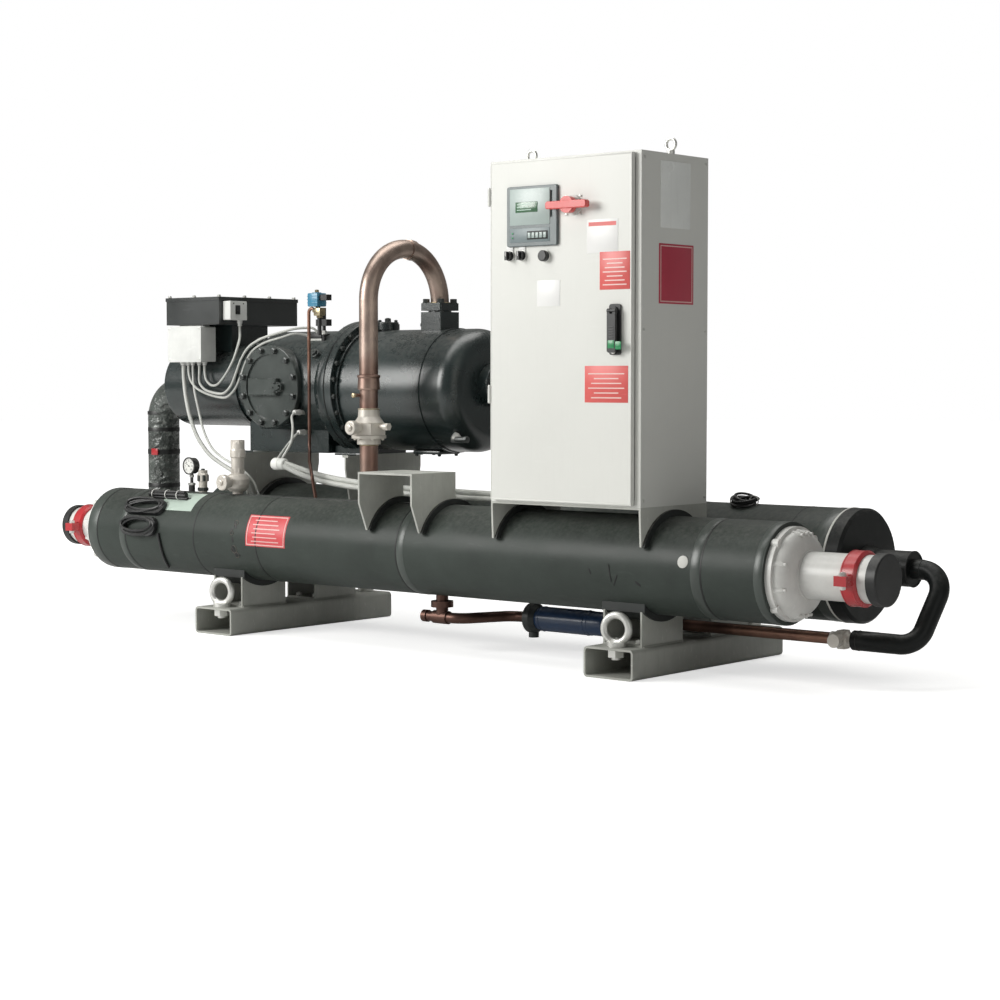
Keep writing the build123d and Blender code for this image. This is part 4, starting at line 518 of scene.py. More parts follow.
for x, z, long, wide, lean in (
    (-943, 462, 34, 9, 0.5), (-960, 436, 26, 8, -0.4), (-950, 400, 22, 7, 0.2), (-947, 352, 46, 13, 0.3),
    (-930, 340, 30, 9, 1.2), (1018, 376, 60, 4, 0.1), (1040, 352, 44, 4, -0.5), (1138, 345, 26, 8, 0.9),
    (928, 378, 22, 5, 0.4),
):
    spot, out = shell_point(x, asin((z - shell_z) / condenser_radius), 0.2)
    made = bmesh.ops.create_uvsphere(gouges, u_segments=12, v_segments=8, radius=0.5)
    spin = Matrix.Translation(at(*spot)) @ turn_to(out) @ Matrix.Rotation(lean, 4, "Z")
    flatten = Matrix.Diagonal((wide * 0.0015, long * 0.0012, 0.0018, 1))
    bmesh.ops.transform(gouges, matrix=spin @ flatten, verts=made["verts"])
finish_piece("foam_gouges", gouges, seam_black)
torn_edges = bmesh.new()
for x, z, radius in ((-940, 470, 11), (-956, 428, 9), (-946, 360, 16), (-936, 336, 12)):
    spot, out = shell_point(x, asin((z - shell_z) / condenser_radius), -0.2)
    add_ring(torn_edges, spot, out, radius, 1.6, sides=20, around=6)
torn_foam = finish_look("torn_foam", (0.085, 0.075, 0.062), 0.7, grain_scale=900)
finish_piece("torn_edges", torn_edges, torn_foam)


# The condenser's ends are cast heads in pale paint, studded to the tube plate, each with a steel water
# pipe. Red cast couplings in two halves hold the blanked stubs, which carry black push-on caps.
pale_paint = finish_look("pale_paint", (0.72, 0.72, 0.695), 0.38, dust=0.12, streaks=0.12, scuff=0.15,
                         coat=0.2)
coupling_red = finish_look("coupling_red", (0.50, 0.022, 0.030), 0.30, dust=0.08, scuff=0.2, coat=0.4)
black_plastic = finish_look("black_plastic", (0.016, 0.017, 0.017), 0.38, dust=0.12, grain_scale=900)
coat_nodes(pale_paint, "condenser_head_left", "condenser_head_right", "blanking_stubs")
coat_nodes(coupling_red, "pipe_couplings")
coat_nodes(black_plastic, "end_caps")
stud_circle = 142
studs = bmesh.new()
head_rings = bmesh.new()
for x, side in ((condenser_high.x, 1), (condenser_low.x, -1)):
    for angle in (-18, 18, 78, 90, 102, 162, 198, 258, 270, 282):
        spot = shell_point(x + side * 22, radians(angle), radius=stud_circle)[0]
        add_drum(studs, spot, (side, 0, 0), 36, 15, top=8, sides=24, rounding=1.5)
        add_drum(studs, spot + Vector((side * 36, 0, 0)), (side, 0, 0), 10, 6, sides=16, rounding=1)
    add_ring(head_rings, (x + side * 80, condenser_y, shell_z), (1, 0, 0), 84, 4)
finish_piece("head_studs", studs, pale_paint)
finish_piece("head_weld_rings", head_rings, pale_paint)
coupling_half_width = 31
coupling_bolt_reach = 117
coupling_low, coupling_high = span("pipe_couplings")
clamp_bolts = bmesh.new()
ribs = bmesh.new()
for x in (coupling_high.x - coupling_half_width, coupling_low.x + coupling_half_width):
    for side in (-1, 1):
        y = condenser_y + side * coupling_bolt_reach
        add_drum(clamp_bolts, (x, y, shell_z - 30), (0, 0, 1), 60, 6, sides=16)
        for up in (1, -1):
            add_bolt(clamp_bolts, (x, y, shell_z + up * 17), (0, 0, up), 22)
        add_ring(ribs, (x + side * 22, condenser_y, shell_z), (1, 0, 0), 93.5, 3, sides=72)
finish_piece("coupling_bolts", clamp_bolts, zinc)
finish_piece("coupling_ribs", ribs, coupling_red)


# The evaporator's refrigerant lines: a foam-covered loop in at the right end, a film-wrapped suction
# pipe out at the left, and grooved water pipes at the back.
wrap_film = finish_look("wrap_film", (0.085, 0.098, 0.090), 0.16, cloud=0.35, dust=0.25, streaks=0.2,
                        scuff=0.6, grain_scale=60, grain_height=0.002, coat=0.6,
                        dust_colour=(0.55, 0.57, 0.54))
coat_nodes(wrap_film, "suction_pipe", "suction_elbow")
tree = wrap_film.node_tree
shader = tree.nodes["Principled BSDF"]
place = add_node(tree, "TexCoord")
folds = add_node(tree, "TexWave", wave_type="BANDS", bands_direction="Z", Vector=place.outputs["Object"],
                 Scale=6.0, Distortion=9.0, Detail=4.0, Detail_Scale=2.5)
# Painted highlights: pale flecks where the crinkled film would catch the light are blended into its base
# colour as light grey.
painted_glints = add_node(tree, "TexNoise", Vector=place.outputs["Object"], Scale=28.0, Detail=5.0, Roughness=0.65)
painted_glint_mask = remap(tree, painted_glints.outputs["Fac"], 0.56, 0.72, 0.0, 0.7)
foam_below = shader.inputs["Base Color"].links[0].from_socket
film_with_painted_glints = blend_colours(tree, painted_glint_mask, foam_below, (0.42, 0.45, 0.42))
tree.links.new(film_with_painted_glints, shader.inputs["Base Color"])
crease = add_node(tree, "Bump", Strength=0.8, Distance=0.008, Height=folds.outputs["Fac"],
                  Normal=shader.inputs["Normal"].links[0].from_socket)
tree.links.new(crease.outputs["Normal"], shader.inputs["Normal"])
suction_radius = 73
suction_x = span("suction_pipe")[0].x + suction_radius
straps = bmesh.new()
for z, height, grow in ((486, 26, 1.5), (560, 20, 1.2), (716, 22, 2.2), (822, 18, 1.4), (900, 16, 2.0)):
    add_drum(straps, (suction_x, evaporator_y, z), (0, 0, 1), height, suction_radius + grow, sides=64,
             rounding=0.8)
finish_piece("suction_straps", straps, black_plastic)
block_piece("suction_red_tag", (-2079, 139, 712), (-2036, 144, 742), 1, coupling_red)
steel_pipe = finish_look("steel_pipe", (0.30, 0.31, 0.30), 0.42, metal=0.2, dust=0.2)
coat_nodes(steel_pipe, "evaporator_pipes")
suction_bolts = bmesh.new()
bolt_circle(suction_bolts, (-1894, evaporator_y, 998), (-1, 0, 0), 86, 8, 11.46, 19)
finish_piece("suction_flange_bolts", suction_bolts, zinc)
loop_tapes = bmesh.new()
add_ring(loop_tapes, (1901, evaporator_y, shell_z), (1, 0, 0), 62.5, 3)
add_ring(loop_tapes, (1938, evaporator_y, shell_z), (1, 0, 0), 34.8, 1.6)
add_ring(loop_tapes, (1812, 0, 160), (1, 0, 0), 34.8, 1.6)
finish_piece("loop_tapes", loop_tapes, seam_black)


# The compressor is three iron castings bolted end to end and sprayed gloss blue-black: a motor barrel, a
# rotor housing with a round side cover, and the oil separator. Hexagon bolts, sprayed with them, hold
# the rings and covers, and zinc bolts hold the feet.
casting_paint = finish_look("casting_paint", (0.016, 0.026, 0.026), 0.24, cloud=0.2, dust=0.22, streaks=0.12,
                            scuff=0.2, grain_scale=260, grain_height=0.0005, coat=0.5, cloud_scale=3.0)
cover_paint = finish_look("cover_paint", (0.050, 0.060, 0.056), 0.2, cloud=0.15, dust=0.1, scuff=0.3,
                          grain_scale=200, grain_height=0.0003, coat=0.6)
coat_nodes(cover_paint, "side_cover")
coat_nodes(casting_paint, "compressor_motor", "compressor_body", "main_flange", "oil_separator",
           "separator_foot", "discharge_block")
bolt_black = finish_look("bolt_black", (0.055, 0.062, 0.060), 0.30, metal=0.3, dust=0.3, grain_scale=300,
                         coat=0.3)
ring_low, ring_high = span("main_flange")
ring_x = (ring_low.x + ring_high.x) / 2
compressor_y = (ring_low.y + ring_high.y) / 2
compressor_z = (ring_low.z + ring_high.z) / 2
ring_bolt_circle = 271
ring_bolts = bmesh.new()
for x, side in ((ring_high.x, 1), (ring_low.x, -1)):
    bolt_circle(ring_bolts, (x, compressor_y, compressor_z), (side, 0, 0), ring_bolt_circle, 24, 7.5, 19,
                proud=11)
for number in range(24):
    turn = radians(7.5 + 15 * number)
    y = compressor_y + ring_bolt_circle * cos(turn)
    z = compressor_z + ring_bolt_circle * sin(turn)
    add_drum(ring_bolts, (ring_x - 2, y, z), (1, 0, 0), 4, 8, sides=12)
finish_piece("ring_bolts", ring_bolts, bolt_black)
ring_gap = bmesh.new()
add_ring(ring_gap, (ring_x, compressor_y, compressor_z), (1, 0, 0), 284.2, 1.5, sides=96, around=8)
finish_piece("ring_gasket", ring_gap, seam_black)
cover_low, cover_high = span("side_cover")
cover_x = (cover_low.x + cover_high.x) / 2
cover_z = (cover_low.z + cover_high.z) / 2
cover_bolts = bmesh.new()
bolt_circle(cover_bolts, (cover_x, -46, cover_z), (0, -1, 0), 159, 12, 15, 24, proud=14)
bolt_circle(cover_bolts, (-1030, -66, compressor_z), (0, -1, 0), 22, 6, 0, 7, proud=4, washer=False)
finish_piece("cover_bolts", cover_bolts, bolt_black)
motor_bolts = bmesh.new()
bolt_circle(motor_bolts, (-1376, compressor_y, 1039), (1, 0, 0), 176, 10, 18, 19, proud=11)
finish_piece("motor_bolts", motor_bolts, bolt_black)
plugs = bmesh.new()
for x, y, z, axis, width in ((-1240, 60, 1215, (0, -0.6, 0.8), 30), (-860, 20, 1165, (0, -0.8, 0.6), 27),
                             (-1240, 400, 1180, (0, 0.75, 0.66), 27)):
    place = Vector((x, y, z))
    add_drum(plugs, place, axis, 22, width * 0.75, sides=28, rounding=2)
    add_bolt(plugs, place + Vector(axis) * 22, axis, width, proud=12, washer=False)
finish_piece("oil_plugs", plugs, bolt_black)
welds = bmesh.new()
for x, radius, bar in ((-683, 262, 3.5), (-229.5, 250.2, 6.5)):
    add_ring(welds, (x, compressor_y, 1020), (1, 0, 0), radius, bar, sides=120, around=8)
for x in (-1268, -645):
    add_drum(welds, (x - 60, -33, 752), (1, 0, 0), 120, 4, sides=8)
finish_piece("casting_welds", welds, casting_paint)
boss = Vector((span("oil_separator")[1].x, compressor_y, 1040))
boss_bolts = bmesh.new()
bolt_circle(boss_bolts, boss, (1, 0, 0), 62, 6, 0, 16, proud=9)
add_drum(boss_bolts, boss, (1, 0, 0), 6, 34, sides=40, rounding=1.5)
finish_piece("separator_end_bolts", boss_bolts, bolt_black)
port = Vector((-632, compressor_y, span("oil_separator")[1].z))
port_lid = port + Vector((0, 0, 8))
port_cap = bmesh.new()
add_drum(port_cap, port, (0, 0, 1), 8, 46, sides=48, rounding=2)
bolt_circle(port_cap, port_lid, (0, 0, 1), 34, 4, 45, 13, proud=8)
add_bolt(port_cap, port_lid, (0, 0, 1), 24, proud=14)
finish_piece("separator_port_cap", port_cap, bolt_black)
foot_bolts = bmesh.new()
for x in (-1310, -1226, -942, -858):
    for y in (92, 338):
        add_bolt(foot_bolts, (x, y, 752), (0, 0, 1), 24, proud=14.1)
finish_piece("foot_bolts", foot_bolts, zinc)


# Low on the oil separator a zinc-plated level switch is screwed in, with a black plug on its cable side,
# and under the separator a flat cast cover closes the sump, held by four bolts.
level_switch = bmesh.new()
add_drum(level_switch, (-88, 42, 842), (0, -0.69, -0.72), 24, 17, sides=6, rounding=1.5)
add_drum(level_switch, (-88, 25, 825), (0, -0.69, -0.72), 8, 12, sides=28, rounding=2)
finish_piece("level_switch", level_switch, zinc)
switch_plug = bmesh.new()
add_drum(switch_plug, (-76, 22, 824), (1, 0, 0), 52, 12, sides=28, rounding=3)
add_drum(switch_plug, (-30, 22, 824), (1, 0, 0), 16, 14, sides=8, rounding=1.5)
add_block(switch_plug, (-104, 18, 812), (-68, 34, 832), 3)
finish_piece("switch_plug", switch_plug, bolt_black)
sump_cover = bmesh.new()
add_block(sump_cover, (-430, 150, 754), (-280, 280, 770), 5)
for x in (-418, -292):
    for y in (162, 268):
        add_bolt(sump_cover, (x, y, 755), (0, 0, -1), 14, proud=7)
finish_piece("sump_cover", sump_cover, casting_paint)


# Wiring boxes stand on the motor: a cast terminal box with a flat lid, a pale sheet-steel junction box
# with nylon cable glands, and a small thermostat housing.
box_paint = finish_look("box_paint", (0.024, 0.028, 0.028), 0.34, dust=0.4, scuff=0.25, grain_scale=320,
                        grain_height=0.0004, coat=0.35)
pale_box = finish_look("pale_box", (0.74, 0.75, 0.73), 0.36, dust=0.2, streaks=0.1, scuff=0.15, coat=0.15)
gland_black = finish_look("gland_black", (0.020, 0.021, 0.022), 0.42, dust=0.2, grain_scale=900)
coat_nodes(box_paint, "terminal_box")
coat_nodes(pale_box, "junction_box", "thermostat_box")
lid_top = span("terminal_box")[1].z
box_screws = bmesh.new()
for x, y in ((-1768, -10), (-1768, 449), (-1605, -10), (-1605, 449), (-1442, -10), (-1442, 449),
             (-1768, 143), (-1442, 143), (-1768, 296), (-1442, 296)):
    add_bolt(box_screws, (x, y, lid_top), (0, 0, 1), 15, proud=7)
finish_piece("terminal_box_bolts", box_screws, zinc)
block_piece("terminal_box_gasket", (-1777.6, -19.6, 1412.5), (-1432.4, 458.6, 1414.5), 0, seam_black,
            smooth=False)


def add_cross_screw(bm, spot, axis, radius):
    """Low round screw head with a raised cross on it."""
    far = Vector(axis).normalized()
    base = Vector(spot)
    add_drum(bm, base, far, radius * 0.35, radius, sides=20, rounding=radius * 0.18)
    side = far.cross(Vector((0, 0, 1)) if abs(far.z) < 0.9 else Vector((1, 0, 0))).normalized()
    up = far.cross(side)
    for one, other in ((side, up), (up, side)):
        turn = Matrix((one, other, far)).transposed().to_4x4()
        bar = Matrix.Diagonal((radius * 0.0013, radius * 0.00025, radius * 0.00012, 1))
        middle = Matrix.Translation(at(*(base + far * radius * 0.37)))
        bmesh.ops.create_cube(bm, size=1, matrix=middle @ turn @ bar)


junction_front = span("junction_box")[0].y
lid_screws = bmesh.new()
for x in (-1736, -1540):
    for z in (1154, 1290):
        add_cross_screw(lid_screws, (x, junction_front, z), (0, -1, 0), 5)
finish_piece("junction_box_screws", lid_screws, zinc)
gland_y = 10
gland_nut_z = 1144
glands = bmesh.new()
for x, radius in ((-1702, 13), (-1669, 9), (-1640, 9), (-1597, 9), (-1562, 9)):
    add_drum(glands, (x, gland_y, gland_nut_z), (0, 0, -1), 5, radius * 1.22, sides=6, rounding=1)
    add_drum(glands, (x, gland_y, gland_nut_z - 5), (0, 0, -1), 12, radius * 1.08, top=radius * 0.8,
             sides=24, rounding=1.5)
add_drum(glands, (-1404, 78, 1327), (0, 0, -1), 4, 12, sides=6, rounding=1)
finish_piece("gland_nuts", glands, gland_black)
thermostat_face = bmesh.new()
add_block(thermostat_face, (-1380.5, 30, 1352), (-1377.5, 58, 1392), 1.2)
add_drum(thermostat_face, (-1377.5, 44, 1364), (1, 0, 0), 4, 7, sides=24, rounding=1)
for x, y in ((-1380, 20), (-1380, 78)):
    add_cross_screw(thermostat_face, (x, y, 1400), (1, 0, 0), 3)
finish_piece("thermostat_face", thermostat_face, gland_black)


# The hot gas leaves by a square block and a bolted flange, through a copper arch with a brazed collar,
# down through a cast shut-off valve with a cap on its stem, into the condenser.
def copper_finish(name, colour, rough, tint):
    """Drawn copper gone dull: brown clouds, brighter rubbed places and dark tints from brazing."""
    material = finish_look(name, colour, rough, metal=0.85, cloud=0.22, dust=0.12, streaks=0.15, scuff=0.3,
                           grain_scale=220, grain_height=0.0002, cloud_scale=7.0)
    tree = material.node_tree
    shader = tree.nodes["Principled BSDF"]
    place = add_node(tree, "TexCoord")
    heat = add_node(tree, "TexNoise", Vector=place.outputs["Object"], Scale=3.2, Detail=2.0, Roughness=0.5)
    height = add_node(tree, "SeparateXYZ", Vector=place.outputs["Object"])
    near_joint = remap(tree, height.outputs["Z"], 1.20, 1.08, 0.0, 0.16)
    warmed = compute(tree, "ADD", heat.outputs["Fac"], near_joint)
    heat_mask = remap(tree, warmed, 0.54, 0.70, 0.0, 0.8)
    drawn = shader.inputs["Base Color"].links[0].from_socket
    tinted = blend_colours(tree, heat_mask, drawn, tint)
    tree.links.new(tinted, shader.inputs["Base Color"])
    return material


copper = copper_finish("copper", (0.47, 0.365, 0.31), 0.36, (0.22, 0.115, 0.09))
dark_copper = copper_finish("dark_copper", (0.30, 0.165, 0.12), 0.4, (0.08, 0.045, 0.038))
coat_nodes(copper, "discharge_pipe")
coat_nodes(dark_copper, "liquid_line", "oil_line", "liquid_outlet")
nickel = finish_look("nickel", (0.70, 0.66, 0.60), 0.33, metal=0.3, cloud=0.1, dust=0.15, scuff=0.2,
                     grain_scale=300, grain_height=0.0003, coat=0.2)
brass = finish_look("brass", (0.50, 0.42, 0.27), 0.32, metal=0.8, cloud=0.1, dust=0.1, scuff=0.2,
                    grain_scale=300)
coat_nodes(nickel, "discharge_valve", "relief_valve", "expansion_valve", "service_fitting")
discharge_x = -335
flange_top = span("discharge_block")[1].z
flange_bolts = bmesh.new()
for x in (discharge_x - 40, discharge_x + 40):
    for y in (compressor_y - 40, compressor_y + 40):
        add_drum(flange_bolts, (x, y, flange_top), (0, 0, 1), 3, 17, sides=24)
        add_drum(flange_bolts, (x, y, flange_top + 3), (0, 0, 1), 15, 14.5, sides=6, rounding=1.5)
finish_piece("discharge_flange_bolts", flange_bolts, bolt_black)
valve_front = span("discharge_valve")[0].y
valve_trim = bmesh.new()
add_bolt(valve_trim, (discharge_x, valve_front, 873), (0, -1, 0), 26, proud=8, washer=False)
add_drum(valve_trim, (discharge_x, valve_front + 26, 873), (0, 1, 0), 14, 25, sides=6, rounding=1.5)
bolt_circle(valve_trim, (discharge_x, condenser_y, 829), (0, 0, -1), 57, 6, 30, 11, proud=7, washer=False)
add_drum(valve_trim, (-225, condenser_y, 877), (-1, 0, 0), 10, 16, sides=6, rounding=1)
finish_piece("valve_trim", valve_trim, nickel)
brazes = bmesh.new()
for z, radius in ((947, 42.5), (802, 37.5), (612, 39)):
    add_ring(brazes, (discharge_x, condenser_y, z), (0, 0, 1), radius, 2.2, sides=64, around=8)
add_ring(brazes, (discharge_x, compressor_y, flange_top + 1), (0, 0, 1), 40, 3.5, sides=64, around=8)
add_drum(brazes, (-357, -273, 1002), (0, -1, 0), 12, 9.5, sides=6, rounding=1)
finish_piece("brazed_joints", brazes, brass)


# Small fittings on the condenser: a relief valve with a capped outlet, an angle valve with a black cap
# and a dial gauge with a white face, plain numbers and a thin needle.
relief_x = -1108
relief_trim = bmesh.new()
for z, radius in ((668, 31), (735, 35), (790, 31.5)):
    add_drum(relief_trim, (relief_x, condenser_y, z), (0, 0, 1), 18, radius, sides=6, rounding=2)
add_drum(relief_trim, (relief_x, -297, 629), (0, 1, 0), 26, 27, sides=6, rounding=2)
add_bolt(relief_trim, (relief_x, -311, 629), (0, -1, 0), 22, proud=7, washer=False)
finish_piece("relief_valve_trim", relief_trim, nickel)
service_x = -1328
cap_trim = bmesh.new()
add_drum(cap_trim, (service_x, condenser_y, 626), (0, 0, 1), 26, 27, sides=6, rounding=2)
add_drum(cap_trim, (service_x, condenser_y, 584), (0, 0, 1), 14, 25, sides=6, rounding=1.5)
add_drum(cap_trim, (service_x, condenser_y, 672), (0, 0, 1), 8, 9, sides=20, rounding=2)
finish_piece("service_cap", cap_trim, bolt_black)
gauge_case = finish_look("gauge_case", (0.05, 0.05, 0.05), 0.3, dust=0.2, coat=0.3)
coat_nodes(gauge_case, "pressure_gauge")
dial_white = finish_look("dial_white", (0.80, 0.80, 0.77), 0.5, cloud=0.03, dust=0.0, streaks=0.0, scuff=0.0)
dial_x = -1400
dial_z = 690
dial_front = -232
dial = bmesh.new()
add_drum(dial, (dial_x, dial_front + 1, dial_z), (0, -1, 0), 0.8, 32.6, sides=64)
finish_piece("gauge_dial", dial, dial_white)
marks = bmesh.new()
for number in range(41):
    turn = radians(225 - number * 6.75)
    long, wide = (5.5, 0.9) if number % 5 == 0 else (3, 0.45)
    middle = 30.5 - long / 2
    spot = Matrix.Translation(at(dial_x + middle * cos(turn), dial_front, dial_z + middle * sin(turn)))
    bar = Matrix.Diagonal((long / 1000, 0.0003, wide / 1000, 1))
    bmesh.ops.create_cube(marks, size=1, matrix=spot @ Matrix.Rotation(-turn, 4, "Y") @ bar)
hub = Matrix.Translation(at(dial_x, dial_front - 0.6, dial_z)) @ Matrix.Rotation(radians(-150), 4, "Y")
needle = Matrix.Translation((0.008, 0, 0)) @ Matrix.Diagonal((0.032, 0.0005, 0.0012, 1))
bmesh.ops.create_cube(marks, size=1, matrix=hub @ needle)
add_drum(marks, (dial_x, dial_front, dial_z), (0, -1, 0), 1.4, 3, sides=24, rounding=0.4)
finish_piece("gauge_marks", marks, seam_black, smooth=False)


def add_numbers(name, values, place_of, size, material):
    """Plain numbers as flat meshes, standing on a vertical face that looks to the front."""
    joined = bmesh.new()
    for index, value in enumerate(values):
        curve = bpy.data.curves.new(name + "_" + str(index), "FONT")
        curve.body = str(value)
        curve.size = size / 1000
        curve.align_x = "CENTER"
        curve.align_y = "CENTER"
        curve.extrude = 0.0002
        flat = bpy.data.objects.new(curve.name, curve)
        scene.collection.objects.link(flat)
        bpy.context.view_layer.update()
        mesh = bpy.data.meshes.new_from_object(flat)
        upright = Matrix.Translation(at(*place_of(index))) @ Matrix.Rotation(pi / 2, 4, "X")
        mesh.transform(upright)
        joined.from_mesh(mesh)
        bpy.data.objects.remove(flat)
        bpy.data.curves.remove(curve)
        bpy.data.meshes.remove(mesh)
    finish_piece(name, joined, material, smooth=False)


def dial_place(index):
    turn = radians(225 - index * 45)
    return dial_x + 21 * cos(turn), dial_front - 0.2, dial_z + 21 * sin(turn)


add_numbers("gauge_numbers", (0, 5, 10, 15, 20, 25, 30), dial_place, 7.5, seam_black)
gauge_nut = bmesh.new()
add_drum(gauge_nut, (dial_x, condenser_y, 640), (0, 0, 1), 12, 10.5, sides=6, rounding=1)
add_drum(gauge_nut, (dial_x, condenser_y, 606), (0, 0, 1), 10, 17, sides=6, rounding=1)
finish_piece("gauge_nut", gauge_nut, zinc)


# The liquid line under the shells: copper pipe, a cast valve, a blue enamelled drier with pressed ends,
# and an expansion valve of nickelled brass. Raised seams mark where the drier's ends are welded on.
drier_blue = finish_look("drier_blue", (0.010, 0.034, 0.090), 0.3, dust=0.15, scuff=0.15, coat=0.4)
valve_dark = finish_look("valve_dark", (0.035, 0.040, 0.040), 0.38, metal=0.2, dust=0.2)
coat_nodes(drier_blue, "filter_drier")
coat_nodes(valve_dark, "liquid_valve")
drier_low, drier_high = span("filter_drier")
line_y = (drier_low.y + drier_high.y) / 2
line_z = (drier_low.z + drier_high.z) / 2
drier_radius = (drier_high.y - drier_low.y) / 2
drier_seams = bmesh.new()
for x in (drier_low.x + 26, drier_high.x - 52):
    add_ring(drier_seams, (x, line_y, line_z), (1, 0, 0), drier_radius - 0.4, 2, sides=72, around=8)
finish_piece("drier_seams", drier_seams, drier_blue)
drier_end = bmesh.new()
add_drum(drier_end, (drier_high.x - 34, line_y, line_z), (1, 0, 0), 74, drier_radius - 1.5, sides=64,
         rounding=12)
finish_piece("drier_end", drier_end, drier_blue)


# The solenoid valve on the oil line: a brass body, a moulded blue coil with a plug and a nut on top, and
# beside it a pressure sensor with its plug.
coil_blue = finish_look("coil_blue", (0.075, 0.30, 0.47), 0.32, dust=0.12, scuff=0.1, coat=0.2)
coat_nodes(gland_black, "solenoid_valve")
coil = bmesh.new()
add_block(coil, (-771.5, -127.5, 1369), (-712.5, -72.5, 1425), 4)
for z in (1383, 1397, 1411):
    add_block(coil, (-772.5, -128.5, z), (-711.5, -71.5, z + 3), 1)
add_drum(coil, (-742, -100, 1425), (0, 0, 1), 3, 19, sides=40, rounding=1)
finish_piece("solenoid_coil", coil, coil_blue)
valve_body = bmesh.new()
add_bolt(valve_body, (-742, -100, 1428), (0, 0, 1), 16, proud=9)
add_block(valve_body, (-745.5, -117.5, 1330.5), (-708.5, -82.5, 1363.5), 3)
add_drum(valve_body, (-748, -100, 1350), (-1, 0.0, 0.35), 14, 10, sides=6, rounding=1)
add_drum(valve_body, (-727, -100, 1322), (0, 0, 1), 10, 13, sides=6, rounding=1)
finish_piece("solenoid_body", valve_body, brass)
plug_screw = bmesh.new()
add_cross_screw(plug_screw, (-688, -101, 1418), (0, 0, 1), 3.5)
add_bolt(plug_screw, (-880, 80, 1258), (0, 0, 1), 22, proud=14)
finish_piece("plug_screws", plug_screw, zinc)


# Leads in pale sheath run loosely from the glands over the castings, each on its CAD route. White
# moulded plugs sit on the sensors, a lidded block ends two leads, and spare black cable is hung up.
lead_black = finish_look("lead_black", (0.016, 0.017, 0.018), 0.42, dust=0.2, grain_scale=1200)
lead_pale = finish_look("lead_pale", (0.56, 0.57, 0.54), 0.4, dust=0.1, scuff=0.2, grain_scale=1200)
conduit_grey = finish_look("conduit_grey", (0.70, 0.71, 0.68), 0.42, dust=0.2, grain_scale=900)
plug_white = finish_look("plug_white", (0.82, 0.82, 0.79), 0.4, dust=0.1)
coat_nodes(lead_pale, "signal_cables")
coat_nodes(lead_black, "cable_hank")
coat_nodes(conduit_grey, "conduit_bundle")
sensor_plugs = bmesh.new()
for x, y, z in ((-930, -50, 925), (-960, 5, 838)):
    add_drum(sensor_plugs, (x, y + 34, z), (0, -1, 0), 10, 12.5, sides=6, rounding=1)
    add_drum(sensor_plugs, (x, y + 22, z), (0, -1, 0), 26, 11.2, top=10.6, sides=24, rounding=2)
finish_piece("sensor_plugs", sensor_plugs, plug_white)
block_lid = bmesh.new()
add_block(block_lid, (-969, 76, 1240), (-893, 134, 1262), 3)
for x, y in ((-957, 88), (-905, 88), (-957, 122), (-905, 122)):
    add_cross_screw(block_lid, (x, y, 1262), (0, 0, 1), 3)
finish_piece("lead_block_lid", block_lid, gland_black)


# Three corrugated conduits run side by side from a gathering sleeve with a white end cap to the
# cabinet, along the top of the condenser. Their ridges are rings that follow the same route.
def ribbed_route(bm, points, radius, pitch, bar):
    curve = bpy.data.curves.new("route", "CURVE")
    curve.dimensions = "3D"
    curve.resolution_u = 24
    spline = curve.splines.new("NURBS")
    spline.points.add(len(points) - 1)
    for point, place in zip(spline.points, points):
        point.co = (*at(*place), 1)
    spline.order_u = 3
    spline.use_endpoint_u = True
    line = bpy.data.objects.new("route", curve)
    scene.collection.objects.link(line)
    bpy.context.view_layer.update()
    path = bpy.data.meshes.new_from_object(line)
    spots = [vertex.co.copy() for vertex in path.vertices]
    bpy.data.objects.remove(line)
    bpy.data.curves.remove(curve)
    bpy.data.meshes.remove(path)
    carried = 0.0
    for start, end in zip(spots, spots[1:]):
        length = (end - start).length
        if length < 1e-6:
            continue
        ahead = (end - start) / length
        while carried < length:
            spot = Matrix.Translation(start + ahead * carried) @ turn_to(ahead)
            bmesh.ops.create_cone(bm, cap_ends=True, segments=16, radius1=radius / 1000,
                                  radius2=radius / 1000, depth=bar / 1000, matrix=spot)
            carried += pitch / 1000
        carried -= length


conduit_route = ((-825, -210, 706), (-760, -192, 672), (-690, -158, 648), (-569, -154, 632),
                 (-450, -148, 622), (-320, -140, 612), (-160, -136, 606), (20, -140, 604),
                 (180, -134, 600), (330, -136, 602), (477, -130, 598))
head_cap = bmesh.new()
add_drum(head_cap, (-852, -210, 712), (-1, 0, 0), 38, 25.5, sides=48, rounding=7)
finish_piece("conduit_head_cap", head_cap, plug_white)
ridges = bmesh.new()
start_x, start_y, start_z = conduit_route[0]
for back, up in ((0, 0), (23, 2), (11, 21)):
    gathered = (start_x, start_y + back / 2 - 8, start_z + up / 2)
    beside = [(x, y + back, z + up) for x, y, z in conduit_route[1:]]
    ribbed_route(ridges, [gathered] + beside, 11.4, 5, 2.2)
finish_piece("conduit_ridges", ridges, conduit_grey)


# A short coil of spare black cable lies on top of the evaporator, behind the cabinet, held by two
# white ties. Its turns lie loosely on each other.
spare_turns = bmesh.new()
for turn, (x, y, radius, tilt) in enumerate((
    (1206, 178, 44, 0.10), (1212, 186, 48, -0.14), (1200, 184, 40, 0.22), (1216, 176, 43, -0.05),
    (1204, 190, 37, 0.3),
)):
    slope = asin((y - evaporator_y) / evaporator_radius)
    z = shell_z + evaporator_radius * cos(slope) + 6 + turn * 5
    add_ring(spare_turns, (x, y, z), (tilt, -0.2, 1), radius, 5, sides=40, around=8)
finish_piece("spare_cable_turns", spare_turns, lead_black)
spare_ties = bmesh.new()
for x, z in ((1164, 616), (1250, 618)):
    add_ring(spare_ties, (x, 182, z), (0, 1, 0), 19, 2.2, sides=32, around=6)
finish_piece("spare_cable_ties", spare_ties, plug_white)


